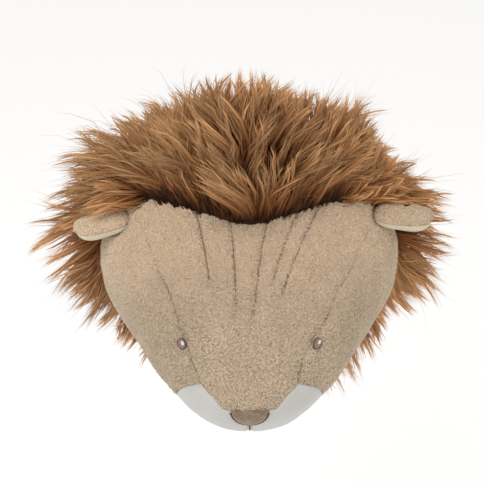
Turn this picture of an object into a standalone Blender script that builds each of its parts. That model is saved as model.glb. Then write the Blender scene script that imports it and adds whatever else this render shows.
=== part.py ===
"""Plush lion head that hangs flat on a wall: a stuffed head in short teddy plush with a white muzzle,
inside a thick mane of long-pile fur, on a covered board.

World frame, in metres: the wall is the plane Y = 0, the head looks along -Y, and Z is up. The origin is
the middle of the board's back face. The head is drawn in its own frame, because it droops: "along" runs
from the wall to the nose, "across" is world X, and "height" is square to both.
"""

import math
import random

import bmesh
import bpy
from mathutils import Matrix, Vector

# Driving sizes
HEAD_DROOP = math.radians(24.6)
SEAM_GAP = 0.0003
MANE_GAP = 0.0010

# Head: how far along, height of the section's middle, half width, rise above the middle, drop below it
HEAD_START = Vector((0.0, -0.010, 0.0133))
HEAD_STATIONS = (
    (0.000, -0.012, 0.118, 0.076, 0.089),
    (0.028, -0.012, 0.130, 0.079, 0.093),
    (0.058, -0.010, 0.127, 0.077, 0.090),
    (0.090, -0.006, 0.113, 0.070, 0.082),
    (0.122, -0.002, 0.096, 0.060, 0.070),
    (0.153, 0.001, 0.079, 0.047, 0.0575),
    (0.178, 0.003, 0.061, 0.036, 0.047),
    (0.197, 0.004, 0.046, 0.027, 0.036),
    (0.2085, 0.005, 0.031, 0.019, 0.0245),
    (0.2135, 0.006, 0.016, 0.010, 0.0125),
    (0.2145, 0.006, 0.000, 0.000, 0.000),
)
HEAD_ROUNDNESS = 2.35
HEAD_RINGS = 22
HEAD_SIDES = 36
HEAD_BACK = -0.032

# Rounded corners of the head, where the ears are sewn on
BROW_ACROSS = 0.094
BROW_ALONG = 0.018
BROW_RISE = 0.013
BROW_SPREAD = 0.027

# White muzzle: its rear seam leans with height, and a teddy tongue runs over it to the nose
MUZZLE_SEAM_ALONG = 0.184
MUZZLE_SEAM_LEAN = 0.19
TONGUE_REAR = (0.1890, 0.0405)
TONGUE_MIDDLE = (0.2068, 0.0245)
TONGUE_FRONT = (0.2150, 0.0150)
TONGUE_UNDERSIDE = 0.0165
TONGUE_SPREAD = (0.030, 0.026)
CUTTER_HALF_WIDTH = 0.10
CUTTER_HALF_HEIGHT = 0.09
CUTTER_FAR = 0.30
CHIN_SEAM_RADIUS = 0.0018
CHIN_SEAM_STEPS = 12
CHIN_SEAM_ROWS = 4.6

# Nose pad and the thread around it
NOSE_HALF_WIDTH = 0.0160
NOSE_TOP = 0.0206
NOSE_DEPTH = 0.0156
NOSE_CORNER = math.radians(20)
NOSE_THICKNESS = 0.0026
NOSE_SINK = 0.006
NOSE_RIM_RISE = 0.45
NOSE_CROWN = ((0.93, 0.85), (0.65, 1.1), (0.3, 1.25))
NOSE_CROWN_MIDDLE = 0.45
NOSE_SIDES = 12
THREAD_RADIUS = 0.0007
NOSE_THREAD_STEPS = 16
MOUTH_LENGTH = 0.016
MOUTH_SINK = 0.0004
MOUTH_THREAD_STEPS = 8

# Eyes
EYE_ACROSS = 0.0562
EYE_ALONG = 0.1567
EYE_HALF_WIDTH = 0.0042
EYE_HALF_LENGTH = 0.0054
EYE_HALF_THICKNESS = 0.0022
EYE_TURN = math.radians(28)

# Ears: a padded flap with a smooth lining below. The left one hangs a little lower
EARS = (
    ("left", -1, Vector((-0.1250, -0.0570, 0.0300)), math.radians(17)),
    ("right", 1, Vector((0.1325, -0.0570, 0.0365)), math.radians(6)),
)
EAR_HALF_LENGTH = 0.0250
EAR_HALF_DEPTH = 0.0185
EAR_HALF_THICKNESS = 0.0095
EAR_CUP = 0.003
EAR_YAW = math.radians(12)
EAR_PITCH = math.radians(-14)
EAR_LAYERS = 4
EAR_CLOSE = 0.2
EAR_INNER = 0.6
EAR_FULLNESS = 2.8
EAR_SQUARENESS = 3.0
EAR_SIDES = 16
LINING_SHARE = 0.45

# Forehead stitches: where each leaves the mane and where it ends, as (across, along)
FOREHEAD_STITCHES = (
    ((-0.0490, 0.030), (-0.0335, 0.1084)),
    ((-0.0175, 0.041), (-0.0112, 0.1384)),
    ((0.0165, 0.044), (0.0035, 0.1393)),
    ((0.0425, 0.039), (0.0190, 0.1139)),
    ((0.0600, 0.036), (0.0267, 0.1213)),
)
STITCH_BOW = 0.0012
STITCH_SINK = 0.0006
STITCH_GROOVE_RADIUS = 0.0017
GROOVE_REACH = 0.02

# Mane: a stuffed body whose front rises over the head to the hairline, with rows of fur locks on it
BODY_HALF_WIDTH = 0.136
BODY_HALF_HEIGHT = 0.120
BODY_BACK = -0.0064
BODY_PROFILE = (
    (0.0, 0.0),
    (0.86, 0.0),
    (1.0, 0.010),
    (0.99, 0.018),
    (0.80, 0.0235),
    (0.45, 0.024),
    (0.0, 0.024),
)
BODY_PLACES = (1, 1.5, 2, 2.5, 3, 3.5, 4, 4.5, 5)
BODY_SIDES = 24
FORELOCK_RISE = 0.062
FORELOCK_POWER = 1.1
LOCK_TAPER = ((0.0, 0.85), (0.36, 1.0), (0.74, 0.62))
LOCK_HALF_WIDTH = 0.0150
LOCK_HALF_THICKNESS = 0.0068
LOCK_STAND = math.radians(30)
LOCK_SPLAY = 0.35
LOCK_CURL = 0.16
LOCK_DROOP = 0.10
LOCK_ROOT_SINK = 0.007
LOCK_SEED = 21
COMB_STEP = 0.4
COMB_LOWEST_PLACE = 2.1
WALL_CLEARANCE = 0.003
EAR_CLEARANCE = 0.034

# Rows of locks: count, first and last angle, place on the body's profile, length, size.
# The last row fills out the front below the jaw
LOCK_ROWS = (
    (27, 0, 360, 2.3, 0.046, 1.02),
    (24, 0, 360, 2.9, 0.055, 1.08),
    (14, -24, 204, 3.3, 0.062, 1.10),
    (10, 12, 168, 3.8, 0.066, 1.05),
    (8, 36, 144, 4.35, 0.068, 0.90),
    (7, 210, 330, 3.6, 0.054, 1.25),
)

# Board behind the mane
BOARD_HALF_WIDTH = 0.115
BOARD_HALF_HEIGHT = 0.100
BOARD_THICKNESS = 0.006
BOARD_EDGE = 0.0015
BOARD_SIDES = 32


def empty_scene():
    for old in list(bpy.data.objects):
        bpy.data.objects.remove(old)


def new_collection(name):
    made = bpy.data.collections.new(name)
    bpy.context.scene.collection.children.link(made)
    return made


def material(name, colour, roughness, metallic=0.0):
    made = bpy.data.materials.new(name)
    made.use_nodes = True
    shader = made.node_tree.nodes["Principled BSDF"]
    shader.inputs["Base Color"].default_value = (*colour, 1.0)
    shader.inputs["Roughness"].default_value = roughness
    shader.inputs["Metallic"].default_value = metallic
    return made


def add_object(name, mesh, collection, finish=None):
    made = bpy.data.objects.new(name, mesh)
    collection.objects.link(made)
    if finish:
        mesh.materials.append(finish)
    return made


def add_cutter(name, mesh, cutters):
    made = add_object(name, mesh, cutters)
    made.hide_render = True
    made.display_type = "WIRE"
    return made


def skin_of_rings(name, rings, first_tip=None, last_tip=None):
    """A closed mesh through rings of equal count. An end with a tip closes in a point, or else in a face."""
    build = bmesh.new()
    loops = [[build.verts.new(point) for point in ring] for ring in rings]
    sides = len(loops[0])
    for near, far in zip(loops, loops[1:]):
        for i in range(sides):
            j = (i + 1) % sides
            build.faces.new((near[i], near[j], far[j], far[i]))
    for loop, tip in ((loops[0], first_tip), (loops[-1], last_tip)):
        if tip is None:
            build.faces.new(loop)
            continue
        point = build.verts.new(tip)
        for i in range(sides):
            build.faces.new((loop[i], loop[(i + 1) % sides], point))
    bmesh.ops.recalc_face_normals(build, faces=build.faces)
    mesh = bpy.data.meshes.new(name)
    build.to_mesh(mesh)
    build.free()
    return mesh


def smooth_row(rows, place):
    """The row at a place counted in rows, on a smooth curve through all of them."""
    last = len(rows) - 1
    i = min(int(place), last - 1)
    t = place - i
    before, start, end, after = (rows[min(max(k, 0), last)] for k in (i - 1, i, i + 1, i + 2))
    return [
        0.5 * (2 * q + (r - p) * t + (2 * p - 5 * q + 4 * r - s) * t * t + (3 * q - p - 3 * r + s) * t**3)
        for p, q, r, s in zip(before, start, end, after)
    ]


def row_at_along(along):
    """The head's section at a distance along it, found by halving."""
    low, high = 0.0, len(HEAD_STATIONS) - 1.0
    for _ in range(40):
        middle = (low + high) / 2
        if smooth_row(HEAD_STATIONS, middle)[0] < along:
            low = middle
        else:
            high = middle
    return smooth_row(HEAD_STATIONS, low)


def brow_rise(along, across):
    away = (abs(across) - BROW_ACROSS) ** 2 + (along - BROW_ALONG) ** 2
    return BROW_RISE * math.exp(-away / (2 * BROW_SPREAD**2))


def head_to_world(across, along, height):
    forward = Vector((0.0, -math.cos(HEAD_DROOP), -math.sin(HEAD_DROOP)))
    upward = Vector((0.0, -math.sin(HEAD_DROOP), math.cos(HEAD_DROOP)))
    return HEAD_START + Vector((across, 0.0, 0.0)) + forward * along + upward * height


def signed_power(value, power):
    return math.copysign(abs(value) ** power, value)


def top_height(along, across):
    """Height of the head's upper surface at a place on it."""
    _, middle, half_width, rise, _ = row_at_along(along)
    share = min(abs(across) / half_width, 1.0)
    return middle + rise * (1 - share**HEAD_ROUNDNESS) ** (1 / HEAD_ROUNDNESS) + brow_rise(along, across)


def top_point(across, along, lift=0.0):
    return head_to_world(across, along, top_height(along, across) + lift)


def head_ring(row, grow):
    along, middle, half_width, rise, drop = row
    ring = []
    for i in range(HEAD_SIDES):
        angle = 2 * math.pi * i / HEAD_SIDES
        across = (half_width + grow) * signed_power(math.cos(angle), 2 / HEAD_ROUNDNESS)
        up = signed_power(math.sin(angle), 2 / HEAD_ROUNDNESS)
        height = middle + up * ((rise if up > 0 else drop) + grow)
        if up > 0:
            height += brow_rise(along, across)
        ring.append(head_to_world(across, along, height))
    return ring


def head_mesh(name, grow=0.0):
    """The stuffed head as one form, cut flat behind. Grown, it is the cutter that clears its neighbours."""
    steps = len(HEAD_STATIONS) - 1.0
    rings = []
    for i in range(HEAD_RINGS):
        share = i / HEAD_RINGS
        row = smooth_row(HEAD_STATIONS, steps * share)
        row[0] += grow * share**4
        rings.append(head_ring(row, grow))
    tip_row = HEAD_STATIONS[-1]
    tip = head_to_world(0.0, tip_row[0] + grow, tip_row[1])
    mesh = skin_of_rings(name, rings, last_tip=tip)
    build = bmesh.new()
    build.from_mesh(mesh)
    cut = bmesh.ops.bisect_plane(
        build,
        geom=build.verts[:] + build.edges[:] + build.faces[:],
        plane_co=(0, HEAD_BACK + grow, 0),
        plane_no=(0, 1, 0),
        clear_outer=True,
    )
    rim = [item for item in cut["geom_cut"] if isinstance(item, bmesh.types.BMEdge)]
    bmesh.ops.contextual_create(build, geom=rim)
    bmesh.ops.recalc_face_normals(build, faces=build.faces)
    build.to_mesh(mesh)
    build.free()
    return mesh


def boolean(target, cutter, operation="DIFFERENCE"):
    modifier = target.modifiers.new(operation.title() + " " + cutter.name, "BOOLEAN")
    modifier.operation = operation
    modifier.object = cutter
    modifier.solver = "EXACT"
    return modifier


def tube_mesh(name, points, radius, sides=6):
    """A closed tube along points, as a mesh, from a curve with a bevel."""
    curve = bpy.data.curves.new(name, "CURVE")
    curve.dimensions = "3D"
    curve.bevel_depth = radius
    curve.bevel_resolution = max(0, sides // 2 - 2)
    curve.use_fill_caps = True
    line = curve.splines.new("POLY")
    line.points.add(len(points) - 1)
    for point, place in zip(line.points, points):
        point.co = (*place, 1.0)
    drawn = bpy.data.objects.new(name, curve)
    bpy.context.scene.collection.objects.link(drawn)
    graph = bpy.context.evaluated_depsgraph_get()
    mesh = bpy.data.meshes.new_from_object(drawn.evaluated_get(graph))
    mesh.name = name
    bpy.data.objects.remove(drawn)
    build = bmesh.new()
    build.from_mesh(mesh)
    bmesh.ops.remove_doubles(build, verts=build.verts, dist=1e-6)
    bmesh.ops.recalc_face_normals(build, faces=build.faces)
    build.to_mesh(mesh)
    build.free()
    return mesh


def prism_mesh(name, outline, low, high):
    """An outline of (across, along) points, raised from one height to another in the head's frame."""
    rings = [[head_to_world(across, along, height) for across, along in outline] for height in (low, high)]
    return skin_of_rings(name, rings)


def muzzle_cutter(cutters, name, gap):
    """Everything in front of the muzzle's rear seam, less the teddy tongue, with both seams moved by gap."""
    wide, far = CUTTER_HALF_WIDTH, CUTTER_FAR
    corners = []
    for height in (-CUTTER_HALF_HEIGHT, CUTTER_HALF_HEIGHT):
        rear = MUZZLE_SEAM_ALONG + MUZZLE_SEAM_LEAN * height - gap
        outline = ((-wide, rear), (wide, rear), (wide, far), (-wide, far))
        corners.append([head_to_world(across, along, height) for across, along in outline])
    block = add_cutter(name, skin_of_rings(name, corners), cutters)
    half = [(along, across - gap) for along, across in (TONGUE_REAR, TONGUE_MIDDLE, TONGUE_FRONT)]
    back, spread = TONGUE_SPREAD
    outline = [(half[0][1] + spread, TONGUE_REAR[0] - back), *((across, along) for along, across in half)]
    outline += [(-across, along) for across, along in reversed(outline)]
    tongue_mesh = prism_mesh(name + " tongue", outline, TONGUE_UNDERSIDE + gap, CUTTER_HALF_HEIGHT + gap)
    boolean(block, add_cutter(name + " tongue", tongue_mesh, cutters))
    return block


def stitch_path(start, end, lift, reach=0.0, count=8):
    """Points on the forehead from start to end, bowed a little towards the middle, and past both by reach."""
    points = []
    for i in range(count + 1):
        share = -reach + (1 + 2 * reach) * i / count
        across = start[0] + (end[0] - start[0]) * share
        along = start[1] + (end[1] - start[1]) * share
        across -= math.copysign(STITCH_BOW, across) * math.sin(math.pi * share)
        points.append(top_point(across, along, lift))
    return points


def nose_outline(grow=0.0, count=NOSE_SIDES):
    """The lower part of an oval as (across, height): a straight top between two corners, round below."""
    wide = NOSE_HALF_WIDTH / math.cos(NOSE_CORNER)
    deep = NOSE_DEPTH / (1 - math.sin(NOSE_CORNER))
    middle = NOSE_TOP - NOSE_DEPTH + deep
    points = []
    for i in range(count + 1):
        angle = NOSE_CORNER + (math.pi - 2 * NOSE_CORNER) * i / count
        points.append(((wide + grow) * math.cos(angle), middle - (deep + grow) * math.sin(angle)))
    return points


def front_point(across, height, lift):
    """The muzzle's front surface at a place seen from ahead, grown by lift, found by halving."""

    def outside(along):
        if along - lift >= HEAD_STATIONS[-1][0]:
            return True
        _, middle, half_width, rise, drop = row_at_along(along - lift)
        reach = (rise if height > middle else drop) + lift
        wide = abs(across / (half_width + lift)) ** HEAD_ROUNDNESS
        return wide + abs((height - middle) / reach) ** HEAD_ROUNDNESS > 1

    low, high = HEAD_STATIONS[-4][0] - 0.04, HEAD_STATIONS[-1][0] + lift
    for _ in range(40):
        middle = (low + high) / 2
        if outside(middle):
            high = middle
        else:
            low = middle
    return head_to_world(across, low, height)


def make_head(parts, cutters, finish):
    head = add_object("head", head_mesh("head"), parts, finish)
    boolean(head, muzzle_cutter(cutters, "muzzle space", SEAM_GAP))
    for number, (start, end) in enumerate(FOREHEAD_STITCHES, 1):
        path = stitch_path(start, end, 0.0, GROOVE_REACH)
        groove = tube_mesh(f"groove {number}", path, STITCH_GROOVE_RADIUS)
        boolean(head, add_cutter(f"groove {number}", groove, cutters))
    return head


def make_muzzle(parts, cutters, finish):
    muzzle = add_object("muzzle", head_mesh("muzzle"), parts, finish)
    boolean(muzzle, muzzle_cutter(cutters, "muzzle side", 0.0), "INTERSECT")
    seam = []
    for i in range(CHIN_SEAM_STEPS + 1):
        place = len(HEAD_STATIONS) - 1 - CHIN_SEAM_ROWS * i / CHIN_SEAM_STEPS
        along, middle, _, _, drop = smooth_row(HEAD_STATIONS, place)
        seam.append(head_to_world(0.0, along, middle - drop))
    groove = tube_mesh("chin seam", seam, CHIN_SEAM_RADIUS)
    boolean(muzzle, add_cutter("chin seam", groove, cutters))
    return muzzle


def nose_ring(scale, lift):
    """The nose's outline shrunk towards its middle, laid on the muzzle and raised by lift."""
    middle = NOSE_TOP - NOSE_DEPTH * NOSE_CROWN_MIDDLE
    shrunk = [(across * scale, middle + (height - middle) * scale) for across, height in nose_outline()]
    return [front_point(across, height, lift) for across, height in shrunk]


def make_nose(parts, cutters, finish):
    """A padded half-disc that follows the muzzle, crowned in front."""
    rim = nose_ring(1.0, SEAM_GAP + NOSE_RIM_RISE * NOSE_THICKNESS)
    sunk = [point + (head_to_world(0, 0, 0) - head_to_world(0, NOSE_SINK, 0)) for point in rim]
    crown = [nose_ring(scale, SEAM_GAP + NOSE_THICKNESS * rise) for scale, rise in NOSE_CROWN]
    nose = add_object("nose", skin_of_rings("nose", [sunk, rim, *crown]), parts, finish)
    boolean(nose, add_cutter("nose bed", head_mesh("nose bed", SEAM_GAP), cutters))
    return nose


def thread(name, points, parts, finish):
    return add_object(name, tube_mesh(name, points, THREAD_RADIUS), parts, finish)


def make_threads(parts, finish):
    """The dark threads: five on the forehead, one round the nose and one down from it."""
    for number, (start, end) in enumerate(FOREHEAD_STITCHES, 1):
        thread(f"forehead_stitch_{number}", stitch_path(start, end, -STITCH_SINK), parts, finish)
    off = THREAD_RADIUS + SEAM_GAP
    edge = [front_point(across, height, off) for across, height in nose_outline(off, NOSE_THREAD_STEPS)]
    thread("nose_stitch", edge, parts, finish)
    top = NOSE_TOP - NOSE_DEPTH - 2 * off - THREAD_RADIUS
    heights = [top - MOUTH_LENGTH * i / MOUTH_THREAD_STEPS for i in range(MOUTH_THREAD_STEPS + 1)]
    mouth = [front_point(0.0, height, -MOUTH_SINK) for height in heights]
    thread("mouth_stitch", mouth, parts, finish)


def surface_axes(across, along):
    """Axes on the head's upper surface at a place: sideways, forward, and out of the surface."""
    step = 0.002
    here = top_point(across, along)
    forward = (top_point(across, along + step) - here).normalized()
    sideways = (top_point(across + step, along) - here).normalized()
    outward = sideways.cross(forward).normalized()
    if outward.z < 0:
        outward.negate()
    return Matrix((forward.cross(outward).normalized(), forward, outward)).transposed()


def make_eye(side, name, parts, cutters, finish):
    build = bmesh.new()
    bmesh.ops.create_uvsphere(build, u_segments=12, v_segments=8, radius=1.0)
    mesh = bpy.data.meshes.new(name)
    build.to_mesh(mesh)
    build.free()
    size = Matrix.Diagonal((EYE_HALF_WIDTH, EYE_HALF_LENGTH, EYE_HALF_THICKNESS, 1.0))
    mesh.transform(Matrix.Rotation(-side * EYE_TURN, 4, "Z") @ size)
    eye = add_object(name, mesh, parts, finish)
    across = side * EYE_ACROSS
    axes = surface_axes(across, EYE_ALONG).to_4x4()
    eye.matrix_world = Matrix.Translation(top_point(across, EYE_ALONG)) @ axes
    boolean(eye, add_cutter(name + " bed", head_mesh(name + " bed", SEAM_GAP), cutters))
    return eye


def ear_matrix(side, middle, roll):
    """The ear's own frame: X out from the head, Y back, Z out of the teddy side."""
    turn = Matrix.Rotation(-side * EAR_YAW, 4, "Z")
    droop = Matrix.Rotation(side * roll, 4, "Y")
    tip = Matrix.Rotation(EAR_PITCH, 4, "X")
    mirror = Matrix.Diagonal((side, 1.0, 1.0, 1.0))
    return Matrix.Translation(middle) @ turn @ droop @ tip @ mirror


def ear_shares(low, high):
    return [low + (high - low) * step / EAR_LAYERS for step in range(EAR_LAYERS + 1)]


def ear_mesh(name, frame, shares, grow=0.0):
    """A cupped, rounded pad through shares of its thickness, which run from the lining to the teddy side."""
    low, high = shares[0], shares[-1]
    stack = [(share, math.sqrt(max(EAR_CLOSE**2, 1 - abs(share) ** EAR_FULLNESS))) for share in shares]
    if low > -1:
        stack = [(low, EAR_CLOSE), (low, EAR_INNER), *stack]
    if high < 1:
        stack = [*stack, (high, EAR_INNER), (high, EAR_CLOSE)]
    rings = []
    for share, spread in stack:
        ring = []
        for i in range(EAR_SIDES):
            angle = 2 * math.pi * i / EAR_SIDES
            away = signed_power(math.cos(angle), 2 / EAR_SQUARENESS)
            back = signed_power(math.sin(angle), 2 / EAR_SQUARENESS)
            cup = EAR_CUP * (1 - (back * spread) ** 2)
            x = (EAR_HALF_LENGTH * spread + grow) * away
            y = (EAR_HALF_DEPTH * spread + grow) * back
            ring.append(frame @ Vector((x, y, (EAR_HALF_THICKNESS + grow) * share + cup)))
        rings.append(ring)
    return skin_of_rings(name, rings)


def make_ear(word, side, middle, roll, parts, cutters, teddy, lining):
    """The teddy pad and its lining, both cut back to the head. Returns the room that the ear takes up."""
    frame = ear_matrix(side, middle, roll)
    split = -1 + 2 * LINING_SHARE
    gap = 2 * SEAM_GAP / EAR_HALF_THICKNESS
    bed = add_cutter(f"ear bed {word}", head_mesh(f"ear bed {word}", SEAM_GAP), cutters)
    lower, upper = ear_shares(-1.0, split), ear_shares(split + gap, 1.0)
    pad = add_object(f"ear_{word}", ear_mesh(f"ear_{word}", frame, upper), parts, teddy)
    under_mesh = ear_mesh(f"ear_lining_{word}", frame, lower)
    under = add_object(f"ear_lining_{word}", under_mesh, parts, lining)
    for piece in (pad, under):
        boolean(piece, bed)
        settle(piece)
    room = ear_mesh(f"ear room {word}", frame, lower[:-1] + upper, MANE_GAP)
    return add_cutter(f"ear room {word}", room, cutters)


def body_radius(theta, share=1.0):
    wide, tall = BODY_HALF_WIDTH * share, BODY_HALF_HEIGHT * share
    return wide * tall / math.hypot(tall * math.cos(theta), wide * math.sin(theta))


def body_point(theta, place):
    """A point of the mane's stuffed body at an angle round it, at a place counted in rows of its profile."""
    share, depth = smooth_row(BODY_PROFILE, place)
    front = min(max((place - 2) / 2, 0.0), 1.0)
    lift = FORELOCK_RISE * max(0.0, math.sin(theta)) ** FORELOCK_POWER * front
    radius = body_radius(theta) * share
    return Vector((radius * math.cos(theta), BODY_BACK - depth - lift, radius * math.sin(theta)))


def body_mesh(name):
    rings = []
    for place in BODY_PLACES:
        rings.append([body_point(2 * math.pi * i / BODY_SIDES, place) for i in range(BODY_SIDES)])
    return skin_of_rings(name, rings)


def lock_path(theta, place, length, curl):
    """The middle line of a lock: combed out over the body, standing off it a little, with a drooping tip."""
    root = body_point(theta, place)
    outward = Vector((math.cos(theta), 0.0, math.sin(theta)))
    around = Vector((-math.sin(theta), 0.0, math.cos(theta)))
    nearer = body_point(theta, max(place - COMB_STEP, COMB_LOWEST_PLACE))
    combed = (nearer - body_point(theta, place + COMB_STEP)).normalized()
    lifted = combed.cross(around).normalized()
    start = combed * math.cos(LOCK_STAND) + lifted * math.sin(LOCK_STAND)
    points = []
    for share in (*(share for share, _ in LOCK_TAPER), 1.0):
        bend = share**2
        sweep = start * (share - LOCK_SPLAY * bend) + outward * LOCK_SPLAY * bend + around * curl * bend
        sweep.z -= LOCK_DROOP * bend
        point = root - start * LOCK_ROOT_SINK + sweep * length
        point.y = min(point.y, -WALL_CLEARANCE - LOCK_HALF_THICKNESS * (1 - share))
        points.append(point)
    return points


def lock_rings(path, theta, size):
    """Diamond sections along a lock, so that a ridge runs down it."""
    around = Vector((-math.sin(theta), 0.0, math.cos(theta)))
    rings = []
    for i, (_, taper) in enumerate(LOCK_TAPER):
        heading = (path[i + 1] - path[max(i - 1, 0)]).normalized()
        thick = heading.cross(around).normalized()
        wide = around * LOCK_HALF_WIDTH * size * taper
        deep = thick * LOCK_HALF_THICKNESS * size * taper
        rings.append([path[i] + offset for offset in (wide, deep, -wide, -deep)])
    return rings


def chosen_locks():
    """The path, angle and size of each lock, with those that would run into an ear left out."""
    chance = random.Random(LOCK_SEED)
    for count, first, last, place, length, size in LOCK_ROWS:
        for i in range(count):
            turn = (i + 0.5 + chance.uniform(-0.25, 0.25)) / count
            theta = math.radians(first + (last - first) * turn)
            here = place + chance.uniform(-0.12, 0.12)
            long, curl = length * chance.uniform(0.88, 1.1), LOCK_CURL * chance.uniform(-1, 1)
            path = lock_path(theta, here, long, curl)
            bulk = size * chance.uniform(0.88, 1.1)
            nearest = min((point - middle).length for point in path for _, _, middle, _ in EARS)
            if place <= LOCK_ROWS[0][3] or nearest > EAR_CLEARANCE:
                yield path, theta, bulk


def locks_mesh(name):
    """Every lock as a closed shell of its own, in one mesh."""
    build = bmesh.new()
    for path, theta, size in chosen_locks():
        one = skin_of_rings("lock", lock_rings(path, theta, size), last_tip=path[-1])
        build.from_mesh(one)
        bpy.data.meshes.remove(one)
    mesh = bpy.data.meshes.new(name)
    build.to_mesh(mesh)
    build.free()
    return mesh


def body_of(face):
    """The faces that hang together with a face."""
    found, waiting = {face}, [face]
    while waiting:
        for edge in waiting.pop().edges:
            for other in edge.link_faces:
                if other not in found:
                    found.add(other)
                    waiting.append(other)
    return found


def settle(piece):
    """Apply a piece's cuts and joins, and drop the chips that a cut left loose."""
    graph = bpy.context.evaluated_depsgraph_get()
    mesh = bpy.data.meshes.new_from_object(piece.evaluated_get(graph))
    build = bmesh.new()
    build.from_mesh(mesh)
    bmesh.ops.remove_doubles(build, verts=build.verts, dist=1e-6)
    left, largest = set(build.faces), set()
    while left:
        body = body_of(next(iter(left)))
        left -= body
        largest = max(largest, body, key=len)
    chips = [face for face in build.faces if face not in largest]
    bmesh.ops.delete(build, geom=chips, context="FACES")
    bmesh.ops.triangulate(build, faces=build.faces)
    build.to_mesh(mesh)
    build.free()
    piece.modifiers.clear()
    piece.data = mesh
    mesh.name = piece.name


def make_mane(parts, cutters, finish, rooms):
    mane = add_object("mane", body_mesh("mane"), parts, finish)
    locks = add_cutter("locks", locks_mesh("locks"), cutters)
    boolean(mane, locks, "UNION").use_self = True
    bed = add_cutter("mane bed", head_mesh("mane bed", MANE_GAP), cutters)
    for room in (bed, *rooms):
        boolean(mane, room)
    settle(mane)
    return mane


def make_board(parts, finish):
    bpy.ops.mesh.primitive_cylinder_add(vertices=BOARD_SIDES, radius=1.0, depth=1.0)
    board = bpy.context.active_object
    board.name = board.data.name = "back_board"
    shape = Matrix.Diagonal((BOARD_HALF_WIDTH, BOARD_HALF_HEIGHT, BOARD_THICKNESS, 1.0))
    board.data.transform(shape)
    board.rotation_euler = (math.pi / 2, 0, 0)
    board.location = (0, -BOARD_THICKNESS / 2, 0)
    edge = board.modifiers.new("Soft edge", "BEVEL")
    edge.width = BOARD_EDGE
    edge.segments = 1
    for old in list(board.users_collection):
        old.objects.unlink(board)
    parts.objects.link(board)
    board.data.materials.append(finish)
    return board


def main():
    empty_scene()
    parts = new_collection("Lion head wall mask")
    cutters = new_collection("Cutters")
    cutters.hide_render = True
    teddy = material("Teddy plush", (0.56, 0.44, 0.30), 0.95)
    white = material("White plush", (0.62, 0.60, 0.55), 0.95)
    fur = material("Long-pile fur", (0.33, 0.17, 0.07), 0.75)
    velvet = material("Nose velvet", (0.29, 0.20, 0.13), 0.9)
    dark = material("Dark thread", (0.12, 0.07, 0.05), 0.7)
    eye_thread = material("Eye thread", (0.25, 0.17, 0.13), 0.6)
    lining = material("Ear lining", (0.55, 0.49, 0.38), 0.9)
    cloth = material("Board cloth", (0.50, 0.42, 0.31), 0.95)

    make_board(parts, cloth)
    make_head(parts, cutters, teddy)
    make_muzzle(parts, cutters, white)
    make_nose(parts, cutters, velvet)
    make_threads(parts, dark)
    rooms = []
    for word, side, middle, roll in EARS:
        make_eye(side, f"eye_{word}", parts, cutters, eye_thread)
        rooms.append(make_ear(word, side, middle, roll, parts, cutters, teddy, lining))
    make_mane(parts, cutters, fur, rooms)
    for piece in parts.objects:
        piece.data.shade_smooth()
        piece.data.set_sharp_from_angle(angle=math.radians(50))


main()
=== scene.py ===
# %% [markdown]
# # A plush lion head for the wall
#
# This lesson dresses a soft toy lion head that hangs flat on a wall. The head is a stuffed cone of short, curly
# teddy plush with a white muzzle, a velvet nose and two embroidered eyes. A thick mane of long brown fur stands
# round it. The plain solids of the same head are already packed as a fixed frame, in metres, with the wall at
# Y = 0 and the face looking along -Y. Every piece made here lies on those solids and hides them.

# %% Load the fixed frame
import math

import bpy
import numpy as np
from mathutils import Matrix, Vector, noise


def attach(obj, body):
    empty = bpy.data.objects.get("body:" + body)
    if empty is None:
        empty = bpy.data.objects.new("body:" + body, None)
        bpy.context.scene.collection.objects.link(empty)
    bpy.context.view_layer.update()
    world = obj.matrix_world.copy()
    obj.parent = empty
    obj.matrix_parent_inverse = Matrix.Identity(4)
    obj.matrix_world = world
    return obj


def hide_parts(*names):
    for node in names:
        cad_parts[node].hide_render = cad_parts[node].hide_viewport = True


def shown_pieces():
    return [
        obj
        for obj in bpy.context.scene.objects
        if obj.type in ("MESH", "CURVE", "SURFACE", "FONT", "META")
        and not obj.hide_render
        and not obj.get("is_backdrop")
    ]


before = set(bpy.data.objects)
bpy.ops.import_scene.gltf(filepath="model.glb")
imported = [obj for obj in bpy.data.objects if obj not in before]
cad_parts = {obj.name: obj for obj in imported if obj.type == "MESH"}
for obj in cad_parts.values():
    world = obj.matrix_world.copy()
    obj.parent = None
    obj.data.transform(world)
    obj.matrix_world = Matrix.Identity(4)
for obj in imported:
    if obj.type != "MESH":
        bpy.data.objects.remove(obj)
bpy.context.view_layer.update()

# %% [markdown]
# ## The camera
#
# The head was photographed from above and in front, with a long lens, so its sides hardly converge. A camera
# 1.6 m away and 30 degrees above the horizon gives the same view. The lens sets how large the head stands in
# the frame.

# %% Camera
VIEW_TARGET = Vector((-0.0063, -0.0084, -0.0146))
VIEW_DISTANCE, VIEW_ELEVATION = 1.6, math.radians(30)
LENS_MM, SENSOR_MM = 132.2, 36.0
camera_data = bpy.data.cameras.new("Camera")
camera_data.lens = LENS_MM
camera_data.sensor_width = SENSOR_MM
camera = bpy.data.objects.new("Camera", camera_data)
bpy.context.scene.collection.objects.link(camera)
away = Vector((0.0, -math.cos(VIEW_ELEVATION), math.sin(VIEW_ELEVATION)))
camera.location = VIEW_TARGET + away * VIEW_DISTANCE
camera.rotation_euler = (math.pi / 2 - VIEW_ELEVATION, 0.0, 0.0)
bpy.context.scene.camera = camera
print("camera at", [round(value, 4) for value in camera.location])

# %% [markdown]
# ## Light and floor
#
# Plush shows its pile best in soft light: a hard lamp would draw a black shadow under every curl. A wide lamp
# above, in front and to the left does most of the work, a weaker one fills the right side, and the pale room
# does the rest. The floor is a plain pale sheet well below the head, so the head's shadow falls out of the
# picture. It gives off a little light of its own, so that it stays pale.

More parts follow.
